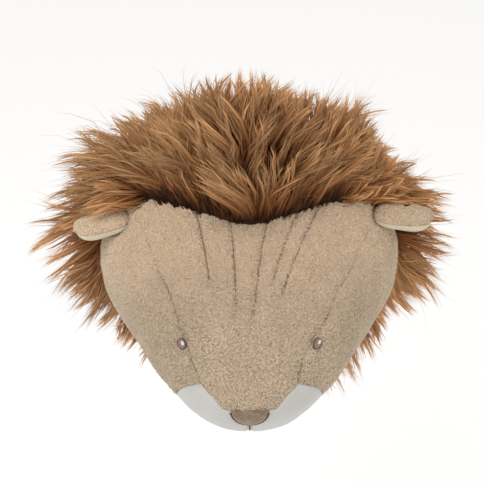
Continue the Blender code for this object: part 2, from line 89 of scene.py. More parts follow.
# %% Room
bpy.context.scene.view_settings.view_transform = "Standard"
ROOM_COLOUR, ROOM_STRENGTH = (1.0, 0.985, 0.965, 1.0), 0.62
world = bpy.data.worlds.new("Pale room")
world.use_nodes = True
room = world.node_tree.nodes["Background"]
room.inputs["Color"].default_value = ROOM_COLOUR
room.inputs["Strength"].default_value = ROOM_STRENGTH
bpy.context.scene.world = world
print("room strength", ROOM_STRENGTH)

# %% Lamps
LAMP_AIM = Vector((0, -0.08, 0))
# Name, place, width in metres and power in watts
LAMPS = (
    ("Overhead lamp", (-0.58, -1.02, 1.46), 1.3, 17),
    ("Side lamp", (1.4, -1.2, 0.5), 1.2, 3),
)
for name, place, width, power in LAMPS:
    lamp = bpy.data.lights.new(name, "AREA")
    lamp.size = width
    lamp.energy = power
    held = bpy.data.objects.new(name, lamp)
    bpy.context.scene.collection.objects.link(held)
    held.location = place
    held.rotation_euler = (LAMP_AIM - Vector(place)).to_track_quat("-Z", "Y").to_euler()
print("lamps", [lamp[0] for lamp in LAMPS])

# %% Floor
FLOOR_HEIGHT, FLOOR_HALF = -0.62, 9
FLOOR_LOOK = {
    "Base Color": (0.95, 0.95, 0.95, 1.0),
    "Roughness": 0.9,
    "Emission Color": (1.0, 1.0, 1.0, 1.0),
    "Emission Strength": 0.3,
}
floor_corners = [(x * FLOOR_HALF, y * FLOOR_HALF, FLOOR_HEIGHT) for x, y in ((-1, -1), (1, -1), (1, 1), (-1, 1))]
floor_mesh = bpy.data.meshes.new("Floor")
floor_mesh.from_pydata(floor_corners, [], [(0, 1, 2, 3)])
floor = bpy.data.objects.new("Floor", floor_mesh)
bpy.context.scene.collection.objects.link(floor)
floor_finish = bpy.data.materials.new("Pale floor")
floor_finish.use_nodes = True
for socket, value in FLOOR_LOOK.items():
    floor_finish.node_tree.nodes["Principled BSDF"].inputs[socket].default_value = value
floor_mesh.materials.append(floor_finish)
floor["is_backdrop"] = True
print("floor at", FLOOR_HEIGHT)

# %% [markdown]
# ## One way to make every mesh
#
# Fur and pile are made of tens of thousands of small closed forms. Adding them one at a time is slow, so each
# piece is worked out as arrays of points and faces, and handed to Blender in one go. Two values go with every
# point: how far it is from the pile's root to its tip ("reach"), and how light its strand is ("tone"). A plain
# unwrapping goes with every face, so that the finish can be baked onto the piece.


def make_piece(name, points, corners, counts, unwrap, finish, reach=None, tone=None):
    """A mesh object from flat arrays: the points, each face's corners, how many corners a face has, and UVs."""
    mesh = bpy.data.meshes.new(name)
    mesh.vertices.add(len(points))
    mesh.vertices.foreach_set("co", np.asarray(points, dtype=np.float32).ravel())
    mesh.loops.add(len(corners))
    mesh.loops.foreach_set("vertex_index", np.asarray(corners, dtype=np.int32))
    mesh.polygons.add(len(counts))
    starts = np.concatenate(([0], np.cumsum(counts)[:-1])).astype(np.int32)
    mesh.polygons.foreach_set("loop_start", starts)
    mesh.polygons.foreach_set("use_smooth", np.ones(len(counts), dtype=bool))
    mesh.update(calc_edges=True)
    layer = mesh.uv_layers.new(name="OFBake")
    layer.data.foreach_set("uv", np.asarray(unwrap, dtype=np.float32).ravel())
    for key, values in (("reach", reach), ("tone", tone)):
        if values is not None:
            spot = mesh.attributes.new(key, "FLOAT", "POINT")
            spot.data.foreach_set("value", np.asarray(values, dtype=np.float32))
    mesh.validate()
    mesh.materials.append(finish)
    piece = bpy.data.objects.new(name, mesh)
    bpy.context.scene.collection.objects.link(piece)
    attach(piece, "root")
    return piece


# %% Skins through rings
def with_ends(values):
    """Values for a loft's points: those of its rings, then the mean of each end ring for its middle point."""
    return None if values is None else np.concatenate((values.ravel(), values[[0, -1]].mean(axis=1)))


def fan_unwrap(across, up, sides, count):
    """UVs of the triangles that close one end of a loft."""
    return np.stack((np.stack(across, 1) / sides, np.tile(up, (sides, 1)) / (count + 1)), 2).reshape(-1, 2)


def loft(name, rings, finish, first=None, last=None, reach=None, tone=None):
    """A closed skin through rings of points (rings, sides, 3), with both ends gathered to a middle point."""
    count, sides = rings.shape[:2]
    first = rings[0].mean(axis=0) if first is None else first
    last = rings[-1].mean(axis=0) if last is None else last
    points = np.vstack((rings.reshape(-1, 3), first, last))
    ring, side = (part.ravel() for part in np.meshgrid(np.arange(count - 1), np.arange(sides), indexing="ij"))
    after = (side + 1) % sides
    here, above = ring * sides, (ring + 1) * sides
    quads = np.stack((here + side, here + after, above + after, above + side), 1)
    across = np.stack((side, side + 1, side + 1, side), 1) / sides
    up = (np.stack((ring, ring, ring + 1, ring + 1), 1) + 1) / (count + 1)
    fan = np.arange(sides)
    fan_after = (fan + 1) % sides
    near = np.stack((fan_after, fan, np.full(sides, count * sides)), 1)
    far = np.stack((fan, fan_after, np.full(sides, count * sides + 1)), 1)
    far[:, :2] += (count - 1) * sides
    corners = np.concatenate((quads.ravel(), near.ravel(), far.ravel()))
    counts = np.concatenate((np.full(len(quads), 4), np.full(2 * sides, 3)))
    unwrap = np.concatenate((
        np.stack((across, up), 2).reshape(-1, 2),
        fan_unwrap((fan + 1, fan, fan + 0.5), (1, 1, 0), sides, count),
        fan_unwrap((fan, fan + 1, fan + 0.5), (count, count, count + 1), sides, count),
    ))
    middle = rings.reshape(-1, 3).mean(axis=0)
    volume = 0.0
    for part in (quads[:, (0, 1, 2)], quads[:, (0, 2, 3)], near, far):
        a, b, c = (points[part[:, k]] - middle for k in range(3))
        volume += np.einsum("ij,ij->i", a, np.cross(b, c)).sum()
    if volume < 0:
        corners, unwrap = turned_over(corners, counts, unwrap)
    return make_piece(name, points, corners, counts, unwrap, finish, with_ends(reach), with_ends(tone))


def turned_over(corners, counts, unwrap):
    """The same faces with their corners the other way round, so that they face out."""
    stops = np.cumsum(counts)
    starts = stops - counts
    order = np.concatenate([np.arange(stop - 1, start - 1, -1) for start, stop in zip(starts, stops)])
    return corners[order], unwrap[order]


# %% Small helpers
def unit(vectors):
    return vectors / np.maximum(np.linalg.norm(vectors, axis=-1, keepdims=True), 1e-12)


def noise_at(points, size, shift=0.0):
    """Smooth noise from -1 to 1 whose lumps are about as large as size, in metres."""
    flat = (np.asarray(points).reshape(-1, 3) / size + shift).tolist()
    return np.array([noise.noise(place) for place in flat]).reshape(np.shape(points)[:-1])


def smooth_step(low, high, value):
    share = np.clip((value - low) / (high - low), 0.0, 1.0)
    return share * share * (3 - 2 * share)


print("helpers ready")

# %% [markdown]
# ## The form of the head
#
# The head is a loft: a row of rounded sections from the wall to the nose. It droops, so the sections are
# counted along a sloping line, in a frame of its own: across, along, and height above the line. The numbers
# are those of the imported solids. Everything on the head, from pile to eyes, asks these functions where the
# surface is.

# %% Head form
DROOP = math.radians(24.6)
HEAD_START = np.array((0.0, -0.010, 0.0133))
RIGHTWARD = np.array((1.0, 0.0, 0.0))
FORWARD = np.array((0.0, -math.cos(DROOP), -math.sin(DROOP)))
UPWARD = np.array((0.0, -math.sin(DROOP), math.cos(DROOP)))
HEAD_BACK = -0.032
ROUNDNESS = 2.35
# How far along, height of the section's middle, half width, rise above the middle, drop below it
SECTIONS = np.array((
    (0.000, -0.012, 0.118, 0.076, 0.089),
    (0.028, -0.012, 0.130, 0.079, 0.093),
    (0.058, -0.010, 0.127, 0.077, 0.090),
    (0.090, -0.006, 0.113, 0.070, 0.082),
    (0.122, -0.002, 0.096, 0.060, 0.070),
    (0.153, 0.001, 0.079, 0.047, 0.0575),
    (0.178, 0.003, 0.061, 0.036, 0.047),
    (0.197, 0.004, 0.046, 0.027, 0.036),
    (0.2085, 0.005, 0.031, 0.019, 0.0245),
    (0.2135, 0.006, 0.016, 0.010, 0.0125),
    (0.2145, 0.006, 0.000, 0.000, 0.000),
))
BROW_ACROSS, BROW_ALONG, BROW_RISE, BROW_SPREAD, BROW_FADE = 0.094, 0.018, 0.013, 0.027, 0.4
print("head sections", len(SECTIONS))


# %% Curves and the head's own frame
def curve_through(rows, place):
    """The rows at places counted in rows, on a smooth curve through all of them."""
    last = len(rows) - 1
    place = np.clip(place, 0, last)
    i = np.minimum(place.astype(int), last - 1)
    t = (place - i)[..., None]
    p, q, r, s = (rows[np.clip(i + k, 0, last)] for k in (-1, 0, 1, 2))
    return 0.5 * (2 * q + (r - p) * t + (2 * p - 5 * q + 4 * r - s) * t**2 + (3 * q - p - 3 * r + s) * t**3)


def to_world(across, along, height):
    across, along, height = (np.asarray(value, dtype=float)[..., None] for value in (across, along, height))
    return HEAD_START + across * RIGHTWARD + along * FORWARD + height * UPWARD


def to_head(points):
    away = points - HEAD_START
    return away @ RIGHTWARD, away @ FORWARD, away @ UPWARD


PLACE_TABLE = np.linspace(0, len(SECTIONS) - 1, 4001)
ALONG_TABLE = curve_through(SECTIONS, PLACE_TABLE)[:, 0]


def section_at(along):
    place = np.interp(along, ALONG_TABLE, PLACE_TABLE)
    return np.moveaxis(curve_through(SECTIONS, place), -1, 0)


def brow(along, across, up):
    """Height of the lump beside each ear, which fades out down the side."""
    away = (np.abs(across) - BROW_ACROSS) ** 2 + (along - BROW_ALONG) ** 2
    return smooth_step(0, BROW_FADE, up) * (BROW_RISE * np.exp(-away / (2 * BROW_SPREAD**2)))


def signed_power(value, power):
    return np.copysign(np.abs(value) ** power, value)


# %% Points on the head's skin
FRONT_FROM, HALVINGS = 0.14, 36


def head_surface(place, angle):
    """World points on the head's skin, at places along it and angles round it."""
    along, middle, wide, rise, drop = np.moveaxis(curve_through(SECTIONS, place), -1, 0)
    across = wide * signed_power(np.cos(angle), 2 / ROUNDNESS)
    up = signed_power(np.sin(angle), 2 / ROUNDNESS)
    height = middle + up * np.where(up > 0, rise, drop) + brow(along, across, up)
    return to_world(across, along, height)


def on_top(across, along, lift=0.0):
    """World points on the head's upper skin, raised by lift."""
    across, along = np.asarray(across, dtype=float), np.asarray(along, dtype=float)
    _, middle, wide, rise, _ = section_at(along)
    share = np.minimum(np.abs(across) / wide, 1.0)
    up = (1 - share**ROUNDNESS) ** (1 / ROUNDNESS)
    return to_world(across, along, middle + rise * up + brow(along, across, up) + lift)


def in_front(across, height, lift=0.0):
    """World points on the muzzle's front, at places seen from ahead, raised by lift."""
    across, height = np.broadcast_arrays(np.asarray(across, dtype=float), np.asarray(height, dtype=float))
    low = np.full(across.shape, FRONT_FROM)
    high = np.full(across.shape, SECTIONS[-1][0] + lift)
    for _ in range(HALVINGS):
        along = (low + high) / 2
        _, middle, wide, rise, drop = section_at(along - lift)
        reach = np.where(height > middle, rise, drop) + lift
        full = np.abs(across / (wide + lift)) ** ROUNDNESS + np.abs((height - middle) / reach) ** ROUNDNESS
        out = (full > 1) | (along - lift >= SECTIONS[-1][0])
        low, high = np.where(out, low, along), np.where(out, along, high)
    return to_world(across, low, height)


def clear_of_head(points, gap):
    """The same points, with those inside the head moved straight out to its skin and gap beyond."""
    across, along, height = to_head(points)
    _, middle, wide, rise, drop = section_at(along)
    above = height - middle
    lump = brow(along, across, above / np.maximum(rise, 1e-6))
    tall = np.where(above > 0, rise + lump, drop)
    full = (np.abs(across) / (wide + gap)) ** ROUNDNESS + (np.abs(above) / (tall + gap)) ** ROUNDNESS
    full = np.maximum(full, 1e-6) ** (1 / ROUNDNESS)
    inside = (full < 1) & (along < SECTIONS[-1][0]) & (points[..., 1] < HEAD_BACK + gap)
    grow = np.where(inside, 1 / full, 1.0)
    return to_world(across * grow, along, middle + above * grow), inside


nose_tip = head_surface(np.array(len(SECTIONS) - 1.01), np.array(0.0))
print("top of the head at", on_top(0.0, 0.03).round(4), "nose tip at", nose_tip.round(4))

# %% [markdown]
# ## Shared effects
#
# Long fur and curly teddy plush are made of strands that one can see: dark and dull at the root, light at the
# tip, and no two alike. The dark at the root is partly the pile's own colour and partly painted shade, for the
# shade among the roots of the fur and in the gaps between the curls. One node group mixes three colours by reach
# and lightens the result by tone. The pile of the white plush and the velvet is too short for that, so a second
# group gives the fine mottle and the tiny bumps of short nap, which thread has too. A third gives the threads of
# a plain weave.

# %% Helpers for nodes
def shade(red, green, blue):
    """A colour as it is read off a screen, from 0 to 255, turned into the linear values that Blender mixes."""
    share = np.array((red, green, blue)) / 255.0
    linear = np.where(share <= 0.04045, share / 12.92, ((share + 0.055) / 1.055) ** 2.4)
    return (*linear.tolist(), 1.0)


def new_group(name, inputs, outputs):
    """An empty shader group with named sockets: (name, kind, default) for each."""
    group = bpy.data.node_groups.new(name, "ShaderNodeTree")
    for socket, kind, value in inputs:
        made = group.interface.new_socket(socket, in_out="INPUT", socket_type="NodeSocket" + kind)
        made.default_value = value
    for socket, kind in outputs:
        group.interface.new_socket(socket, in_out="OUTPUT", socket_type="NodeSocket" + kind)
    return group, group.nodes.new("NodeGroupInput"), group.nodes.new("NodeGroupOutput")


def add_node(tree, kind, settings=None, **values):
    """A node with its settings, and values or links for its inputs by name, spaces written as underscores."""
    node = tree.nodes.new("ShaderNode" + kind)
    for key, value in (settings or {}).items():
        setattr(node, key, value)
    for key, value in values.items():
        socket = node.inputs[int(key[1:]) if key[0] == "i" and key[1:].isdigit() else key.replace("_", " ")]
        if isinstance(value, bpy.types.NodeSocket):
            tree.links.new(value, socket)
        else:
            socket.default_value = value
    return node


def ramped(tree, value, low, high):
    """A value turned into a smooth share, 0 below low and 1 above high."""
    settings = {"interpolation_type": "SMOOTHSTEP"}
    return add_node(tree, "MapRange", settings, Value=value, From_Min=low, From_Max=high).outputs["Result"]


def mixed(tree, share, first, second):
    """Two colours mixed."""
    settings = {"data_type": "RGBA", "blend_type": "MIX", "clamp_factor": True}
    return add_node(tree, "Mix", settings, i0=share, i6=first, i7=second).outputs[2]


def calculated(tree, operation, *values):
    """The result of a Math node on numbers or links."""
    inputs = {f"i{k}": value for k, value in enumerate(values)}
    return add_node(tree, "Math", {"operation": operation}, **inputs).outputs[0]


# %% Group for pile
WHITE = (1.0, 1.0, 1.0, 1.0)
# Dark root, light tip: partly the pile's own colour, partly painted shade among the roots and between the curls
ROOT_TO_MIDDLE, MIDDLE_TO_TIP = (0.0, 0.45), (0.35, 1.0)
pile_group, given, result = new_group(
    "Pile shade",
    [("Root", "Color", WHITE), ("Middle", "Color", WHITE), ("Tip", "Color", WHITE), ("Reach", "Float", 0.5),
     ("Tone", "Float", 0.5), ("Spread", "Float", 0.3)],
    [("Colour", "Color")],
)
sent = given.outputs
lower = mixed(pile_group, ramped(pile_group, sent["Reach"], *ROOT_TO_MIDDLE), sent["Root"], sent["Middle"])
upper = mixed(pile_group, ramped(pile_group, sent["Reach"], *MIDDLE_TO_TIP), lower, sent["Tip"])
lighter = calculated(pile_group, "SUBTRACT", sent["Tone"], 0.5)
scaled = calculated(pile_group, "MULTIPLY_ADD", lighter, sent["Spread"], 1.0)
toned = add_node(pile_group, "HueSaturation", None, Value=scaled, Color=upper)
pile_group.links.new(toned.outputs["Color"], result.inputs["Colour"])
print("group", pile_group.name)

# %% Group for short nap
GRAIN_SHARE, BLOTCH_SHARE, MOTTLE_SHIFT = 0.55, 0.5, -0.05
nap_group, given, result = new_group(
    "Short nap",
    [("Grain size", "Float", 900.0), ("Blotch size", "Float", 60.0)],
    [("Mottle", "Float"), ("Height", "Float")],
)
sent = given.outputs
here = add_node(nap_group, "TexCoord").outputs["Object"]
grain = add_node(nap_group, "TexNoise", None, Vector=here, Scale=sent["Grain size"], Detail=3.0).outputs["Fac"]
blotch = add_node(nap_group, "TexNoise", None, Vector=here, Scale=sent["Blotch size"], Detail=4.0).outputs["Fac"]
both = calculated(nap_group, "MULTIPLY_ADD", grain, GRAIN_SHARE, MOTTLE_SHIFT)
mottle = calculated(nap_group, "MULTIPLY_ADD", blotch, BLOTCH_SHARE, both)
nap_group.links.new(mottle, result.inputs["Mottle"])
nap_group.links.new(grain, result.inputs["Height"])
print("group", nap_group.name)

# %% Group for a plain weave
FIBRE_SCALE = 700.0
weave_group, given, result = new_group(
    "Plain weave", [("Threads", "Float", 1.0)], [("Mask", "Float"), ("Height", "Float")]
)
here = add_node(weave_group, "TexCoord").outputs["Object"]
bands = []
for direction in ("X", "Z"):
    bands.append(add_node(weave_group, "TexWave", {"bands_direction": direction}, Vector=here,
                          Scale=given.outputs["Threads"], Distortion=0.6, Detail=1.0).outputs["Fac"])
woven = calculated(weave_group, "MAXIMUM", *bands)
fibre = add_node(weave_group, "TexNoise", None, Vector=here, Scale=FIBRE_SCALE, Detail=2.0).outputs["Fac"]
weave_group.links.new(calculated(weave_group, "MULTIPLY", woven, fibre), result.inputs["Mask"])
weave_group.links.new(woven, result.inputs["Height"])
print("group", weave_group.name)

# %% [markdown]
# ## The finishes
#
# Each finish is its own material around those groups. Pile scatters light at its surface, so it gets some
# sheen and no gloss. The long fur is smoother than the teddy plush and keeps a soft highlight. Embroidery
# thread is silky.

# %% Helpers for finishes
NAP_HEIGHT, SHEEN_ROUGHNESS = 0.0004, 0.6


def new_finish(name, roughness, sheen=0.0, specular=0.2):
    """A material with a Principled shader. Returns it with its node tree and the shader."""
    made = bpy.data.materials.new(name)
    made.use_nodes = True
    shader = made.node_tree.nodes["Principled BSDF"]
    shader.inputs["Roughness"].default_value = roughness
    shader.inputs["Sheen Weight"].default_value = sheen
    shader.inputs["Sheen Roughness"].default_value = SHEEN_ROUGHNESS
    shader.inputs["Specular IOR Level"].default_value = specular
    return made, made.node_tree, shader


def pile_finish(name, root, middle, tip, spread, roughness, sheen, specular):
    """Pile whose points carry reach and tone."""
    made, tree, shader = new_finish(name, roughness, sheen, specular)
    colours = dict(Root=shade(*root), Middle=shade(*middle), Tip=shade(*tip))
    group = add_node(tree, "Group", {"node_tree": pile_group}, Spread=spread, **colours)
    for key in ("Reach", "Tone"):
        value = add_node(tree, "Attribute", {"attribute_name": key.lower()})
        tree.links.new(value.outputs["Fac"], group.inputs[key])
    tree.links.new(group.outputs["Colour"], shader.inputs["Base Color"])
    return made


def add_bump(tree, shader, height, strength, distance):
    """A fine bump on a shader."""
    raised = add_node(tree, "Bump", None, Height=height, Strength=strength, Distance=distance)
    tree.links.new(raised.outputs["Normal"], shader.inputs["Normal"])


def nap_finish(name, dark, light, grain, blotch, bump, roughness, sheen, low=0.25, high=0.8):
    """A short nap with no strands of its own: mottled colour and a fine bump."""
    made, tree, shader = new_finish(name, roughness, sheen)
    group = add_node(tree, "Group", {"node_tree": nap_group}, Grain_size=grain, Blotch_size=blotch)
    share = ramped(tree, group.outputs["Mottle"], low, high)
    tree.links.new(mixed(tree, share, shade(*dark), shade(*light)), shader.inputs["Base Color"])
    add_bump(tree, shader, group.outputs["Height"], bump, NAP_HEIGHT)
    return made


def thread_finish(name, dark, light, roughness=0.6):
    """Silky thread: a fine grain along it, over mottled colour."""
    return nap_finish(name, dark, light, grain=2600.0, blotch=500.0, bump=0.5, roughness=roughness,
                      sheen=0.1, low=0.3, high=0.75)


# %% Pile, nap and thread
fur = pile_finish("Long fur", (58, 34, 22), (156, 102, 59), (218, 170, 120),
                  spread=0.95, roughness=0.55, sheen=0.0, specular=0.15)
# Dark ground under the fur: partly the cloth's own colour, partly painted shade among the roots
fur_ground = pile_finish("Fur ground", (56, 33, 20), (80, 50, 30), (104, 68, 42),
                         spread=0.5, roughness=0.9, sheen=0.0, specular=0.1)
teddy = pile_finish("Teddy plush", (190, 160, 130), (202, 178, 150), (214, 197, 173),
                    spread=0.44, roughness=0.95, sheen=0.12, specular=0.1)
white = nap_finish("White plush", (184, 182, 176), (200, 199, 195),
                   grain=1400.0, blotch=45.0, bump=0.35, roughness=0.95, sheen=0.3)
velvet = nap_finish("Nose velvet", (106, 86, 68), (162, 140, 117),
                    grain=900.0, blotch=260.0, bump=0.6, roughness=0.85, sheen=0.3)
lining = nap_finish("Ear lining cloth", (196, 184, 158), (212, 202, 178),
                    grain=1500.0, blotch=90.0, bump=0.3, roughness=0.9, sheen=0.2)
dark_thread = thread_finish("Dark thread", (84, 44, 36), (122, 72, 60))
brown_thread = thread_finish("Brown thread", (138, 104, 84), (168, 136, 114))
eye_thread = thread_finish("Eye thread", (140, 112, 100), (172, 146, 132), 0.5)
eye_outline_thread = thread_finish("Eye outline thread", (66, 46, 40), (98, 74, 66), 0.5)
eye_glint_thread = thread_finish("Eye glint thread", (222, 218, 222), (244, 240, 244), 0.4)

# %% Cloth of the board
BOARD_WEAVE_SCALE, BOARD_WEAVE_HEIGHT = 180.0, 0.0003
BOARD_DARK, BOARD_LIGHT = (150, 134, 110), (198, 184, 160)
board_cloth, tree, shader = new_finish("Board cloth", 0.9, 0.2)
group = add_node(tree, "Group", {"node_tree": weave_group}, Threads=BOARD_WEAVE_SCALE)
share = ramped(tree, group.outputs["Mask"], 0.1, 0.6)
tree.links.new(mixed(tree, share, shade(*BOARD_DARK), shade(*BOARD_LIGHT)), shader.inputs["Base Color"])
add_bump(tree, shader, group.outputs["Height"], 0.6, BOARD_WEAVE_HEIGHT)
print("board cloth", board_cloth.name)

# %% [markdown]
# ## Seams and stitches on the head
#
# Every line on the face is a real seam or a hand-drawn line of stitches that pulls the stuffed skin in. Two
# side seams run from the ears past the eyes to the white muzzle. Five dark threads run down the forehead. The
# white muzzle starts at a seam that leans with the head, except in the middle, where a tongue of teddy plush
# runs down to the nose. These lines are drawn once, as points on the skin, and used for the grooves, for the
# threads, and for keeping pile off the threads. The ears' places go with them, because both the head's skin
# and the fur give way to an ear.

# %% Lines on the head
FOREHEAD_STITCHES = (
    ((-0.0490, 0.030), (-0.0335, 0.1084)),
    ((-0.0175, 0.041), (-0.0112, 0.1384)),
    ((0.0165, 0.044), (0.0035, 0.1393)),
    ((0.0425, 0.039), (0.0190, 0.1139)),
    ((0.0600, 0.036), (0.0267, 0.1213)),
)
STITCH_BOW = 0.0012
SIDE_SEAMS = (
    ((-0.0900, 0.050), (-0.0785, 0.0889), (-0.0691, 0.1092), (-0.0618, 0.1297), (-0.0558, 0.1496),
     (-0.0480, 0.1700), (-0.0407, 0.1890)),
    ((0.1030, 0.050), (0.0947, 0.0692), (0.0854, 0.0903), (0.0729, 0.1122), (0.0661, 0.1304), (0.0595, 0.1440),
     (0.0454, 0.1673), (0.0395, 0.1880)),
)
MUZZLE_SEAM_ALONG, MUZZLE_SEAM_LEAN = 0.1807, 0.36
TONGUE_ALONG = (0.1590, 0.1890, 0.2068, 0.2150)
TONGUE_HALF_WIDTH = (0.0665, 0.0405, 0.0245, 0.0150)
TONGUE_UNDERSIDE = 0.0190
EYE_ACROSS, EYE_ALONG = 0.0562, 0.1567
print("lines", len(FOREHEAD_STITCHES) + len(SIDE_SEAMS))

# %% Places of the ears
# Ears: side, middle of the pad, and how far it hangs
EARS = (
    ("left", -1, Vector((-0.1250, -0.0570, 0.0300)), math.radians(17)),
    ("right", 1, Vector((0.1325, -0.0570, 0.0365)), math.radians(6)),
)
EAR_LONG, EAR_DEEP, EAR_THICK, EAR_CUP = 0.0250, 0.0185, 0.0095, 0.003
EAR_YAW, EAR_PITCH = math.radians(12), math.radians(-14)
EAR_FULLNESS, EAR_SQUARENESS = 2.8, 3.0
EAR_SEAM_SINK = -0.0026
EAR_NEAR_POWER, EAR_NEAR_END = 2.4, 1.35


def ear_frame(side, middle, roll):
    """The ear's own frame: X out from the head, Y back, Z out of the teddy side."""
    turn = Matrix.Rotation(-side * EAR_YAW, 4, "Z") @ Matrix.Rotation(side * roll, 4, "Y")
    placed = Matrix.Translation(middle) @ turn @ Matrix.Rotation(EAR_PITCH, 4, "X")
    return np.array(placed @ Matrix.Diagonal((side, 1.0, 1.0, 1.0)))


def in_ear(points, matrix):
    """Points in an ear's frame, their share of its outline, and their height above its middle layer."""
    local = (points - matrix[:3, 3]) @ matrix[:3, :3]
    x, y, z = np.moveaxis(local, -1, 0)
    full = np.abs(x / EAR_LONG) ** EAR_SQUARENESS + np.abs(y / EAR_DEEP) ** EAR_SQUARENESS
    cup = EAR_CUP * (1 - np.minimum(np.abs(y / EAR_DEEP), 1.0) ** 2)
    return local, full ** (1 / EAR_SQUARENESS), z - cup


def ear_nearness(points):
    """1 inside an ear, and falling to 0 a few millimetres outside it."""
    most = np.zeros(points.shape[:-1])
    for matrix in ear_frames:
        _, share, away = in_ear(points, matrix)
        full = (share**EAR_NEAR_POWER + np.abs(away / EAR_THICK) ** EAR_NEAR_POWER) ** (1 / EAR_NEAR_POWER)
        most = np.maximum(most, 1 - smooth_step(1.0, EAR_NEAR_END, full))
    return most


ear_frames = [ear_frame(side, middle, roll) for _, side, middle, roll in EARS]
print("ears at", [matrix[:3, 3].round(3).tolist() for matrix in ear_frames])


# %% Helpers for lines
def stitch_line(start, end, count=60):
    """Places (across, along) from start to end, bowed a little towards the middle."""
    share = np.linspace(0, 1, count)
    across = start[0] + (end[0] - start[0]) * share
    along = start[1] + (end[1] - start[1]) * share
    return across - math.copysign(STITCH_BOW, start[0]) * np.sin(math.pi * share), along


def seam_line(points, count=160):
    """Places (across, along) on a smooth curve through a seam's points."""
    row = curve_through(np.array(points), np.linspace(0, len(points) - 1, count))
    return row[:, 0], row[:, 1]


def muzzle_depth(points):
    """How far a point is inside the white muzzle's outline, in metres; below zero it is on teddy plush."""
    across, along, height = to_head(points)
    past_seam = along - MUZZLE_SEAM_ALONG - MUZZLE_SEAM_LEAN * height
    past_tongue = np.abs(across) - np.interp(along, TONGUE_ALONG, TONGUE_HALF_WIDTH)
    return np.minimum(past_seam, np.maximum(past_tongue, TONGUE_UNDERSIDE - height))


def nearest(points, line, reach=0.012):
    """Distance from each point to the nearest of a line's points, or a large number beyond reach."""
    flat = points.reshape(-1, 3)
    found = np.full(len(flat), 1.0)
    close = np.all((flat > line.min(axis=0) - reach) & (flat < line.max(axis=0) + reach), axis=1)
    near = flat[close]
    best = np.full(len(near), 1.0)
    for start in range(0, len(line), STEPS_AT_ONCE):
        gaps = near[:, None, :] - line[None, start:start + STEPS_AT_ONCE, :]
        best = np.minimum(best, np.sqrt((gaps**2).sum(axis=2)).min(axis=1))
    found[close] = best
    return found.reshape(points.shape[:-1])


# %% Seams and stitches on the skin
STEPS_AT_ONCE = 40
CHIN_FROM, CHIN_TO, CHIN_STEPS = 5.4, 10, 90
forehead_lines = [on_top(*stitch_line(start, end)) for start, end in FOREHEAD_STITCHES]
side_lines = [on_top(*seam_line(points)) for points in SIDE_SEAMS]
eye_places = [on_top(side * EYE_ACROSS, EYE_ALONG) for side in (-1, 1)]
chin_line = head_surface(np.linspace(CHIN_FROM, CHIN_TO, CHIN_STEPS), np.full(CHIN_STEPS, -math.pi / 2))
lengths = [round(float(np.linalg.norm(line[-1] - line[0])), 3) for line in forehead_lines]
print("forehead stitches are", lengths, "m long")

# %% [markdown]
# ## The stuffed head
#
# The skin is a fine net of points on the head's form. Stuffing bulges it between the stitches and the seams
# pull it in. Running cloth simulation on it would blur these narrow lines, so the points are moved along the
# skin's own normal: a soft swell, a groove at every line, and small lumps for the backs of the curls. The part
# under the white muzzle is sunk, so that the two skins meet in a valley along the seam.

# %% Nets over the head
TOP_SHARE = 0.45
NET_ANGLES = np.array((0.0, 0.7, 1.57, 2.4))


def skin_net(rows, columns, first_place=None, last_place=9.97):
    """A net of (place, angle) over the head, closer on the top, whose first row lies on the flat back."""
    fine = np.linspace(0, 2 * math.pi, 2001)
    spread = (fine - TOP_SHARE * (np.cos(fine) - 1)) / (2 * math.pi)
    angle = np.interp(np.arange(columns) / columns, spread, fine)
    table = np.linspace(0, last_place, 800)
    spans = np.diff(head_surface(table[:, None], NET_ANGLES[None, :]), axis=0)
    length = np.concatenate(([0.0], np.cumsum(np.linalg.norm(spans, axis=2).mean(axis=1))))
    if first_place is None:
        depth = head_surface(table[:, None], angle[None, :])[..., 1]
        first_place = table[np.argmax(depth < HEAD_BACK, axis=0)]
    start = np.interp(first_place * np.ones(columns), table, length)
    share = np.linspace(0, 1, rows)[:, None]
    place = np.interp(start[None, :] * (1 - share) + length[-1] * share, length, table)
    return place, np.broadcast_to(angle[None, :], place.shape)


def normals_of(rings):
    """The outward normal at each point of a net that is closed around."""
    around = np.roll(rings, -1, axis=1) - np.roll(rings, 1, axis=1)
    along = np.gradient(rings, axis=0)
    normal = unit(np.cross(around, along))
    middle = rings.mean(axis=1, keepdims=True)
    facing = np.einsum("ijk,ijk->ij", normal, rings - middle).mean()
    return normal if facing > 0 else -normal


# %% Puffs and grooves
LINE_REACH = 0.02
# Lumps of the stuffing: height, size and noise shift of each layer
HEAD_LUMPS = ((0.0010, 0.035, 0.0), (0.0005, 0.012, 4.0))
# A line's pull: height, distance and width of the swell beside it, depth and width of the groove
FOREHEAD_PULL = (0.0010, 0.009, 0.005, 0.0016, 0.0016)
SIDE_PULL = (0.0006, 0.008, 0.005, 0.0011, 0.0013)
EYE_PULL, EYE_PULL_WIDTH, EAR_PULL = 0.0022, 0.0085, 0.0030


def lumps_on(points, layers):
    """Layers of smooth noise added up: the height, size and shift of each."""
    return sum(height * noise_at(points, size, shift) for height, size, shift in layers)


def pulled_in(gap, swell, swell_at, swell_width, groove, groove_width):
    """How far the skin moves out at a distance from a seam: a swell beside it and a groove at it."""
    beside = swell * np.exp(-((gap - swell_at) / swell_width) ** 2)
    return beside - groove * np.exp(-((gap / groove_width) ** 2))


def puff(points):
    """How far the stuffing and the seams move the head's skin out."""
    move = lumps_on(points, HEAD_LUMPS)
    for lines, pull in ((forehead_lines, FOREHEAD_PULL), (side_lines, SIDE_PULL)):
        for line in lines:
            move += pulled_in(nearest(points, line, LINE_REACH), *pull)
    for place in eye_places:
        move -= EYE_PULL * np.exp(-((np.linalg.norm(points - place, axis=-1) / EYE_PULL_WIDTH) ** 2))
    return move - EAR_PULL * ear_nearness(points)


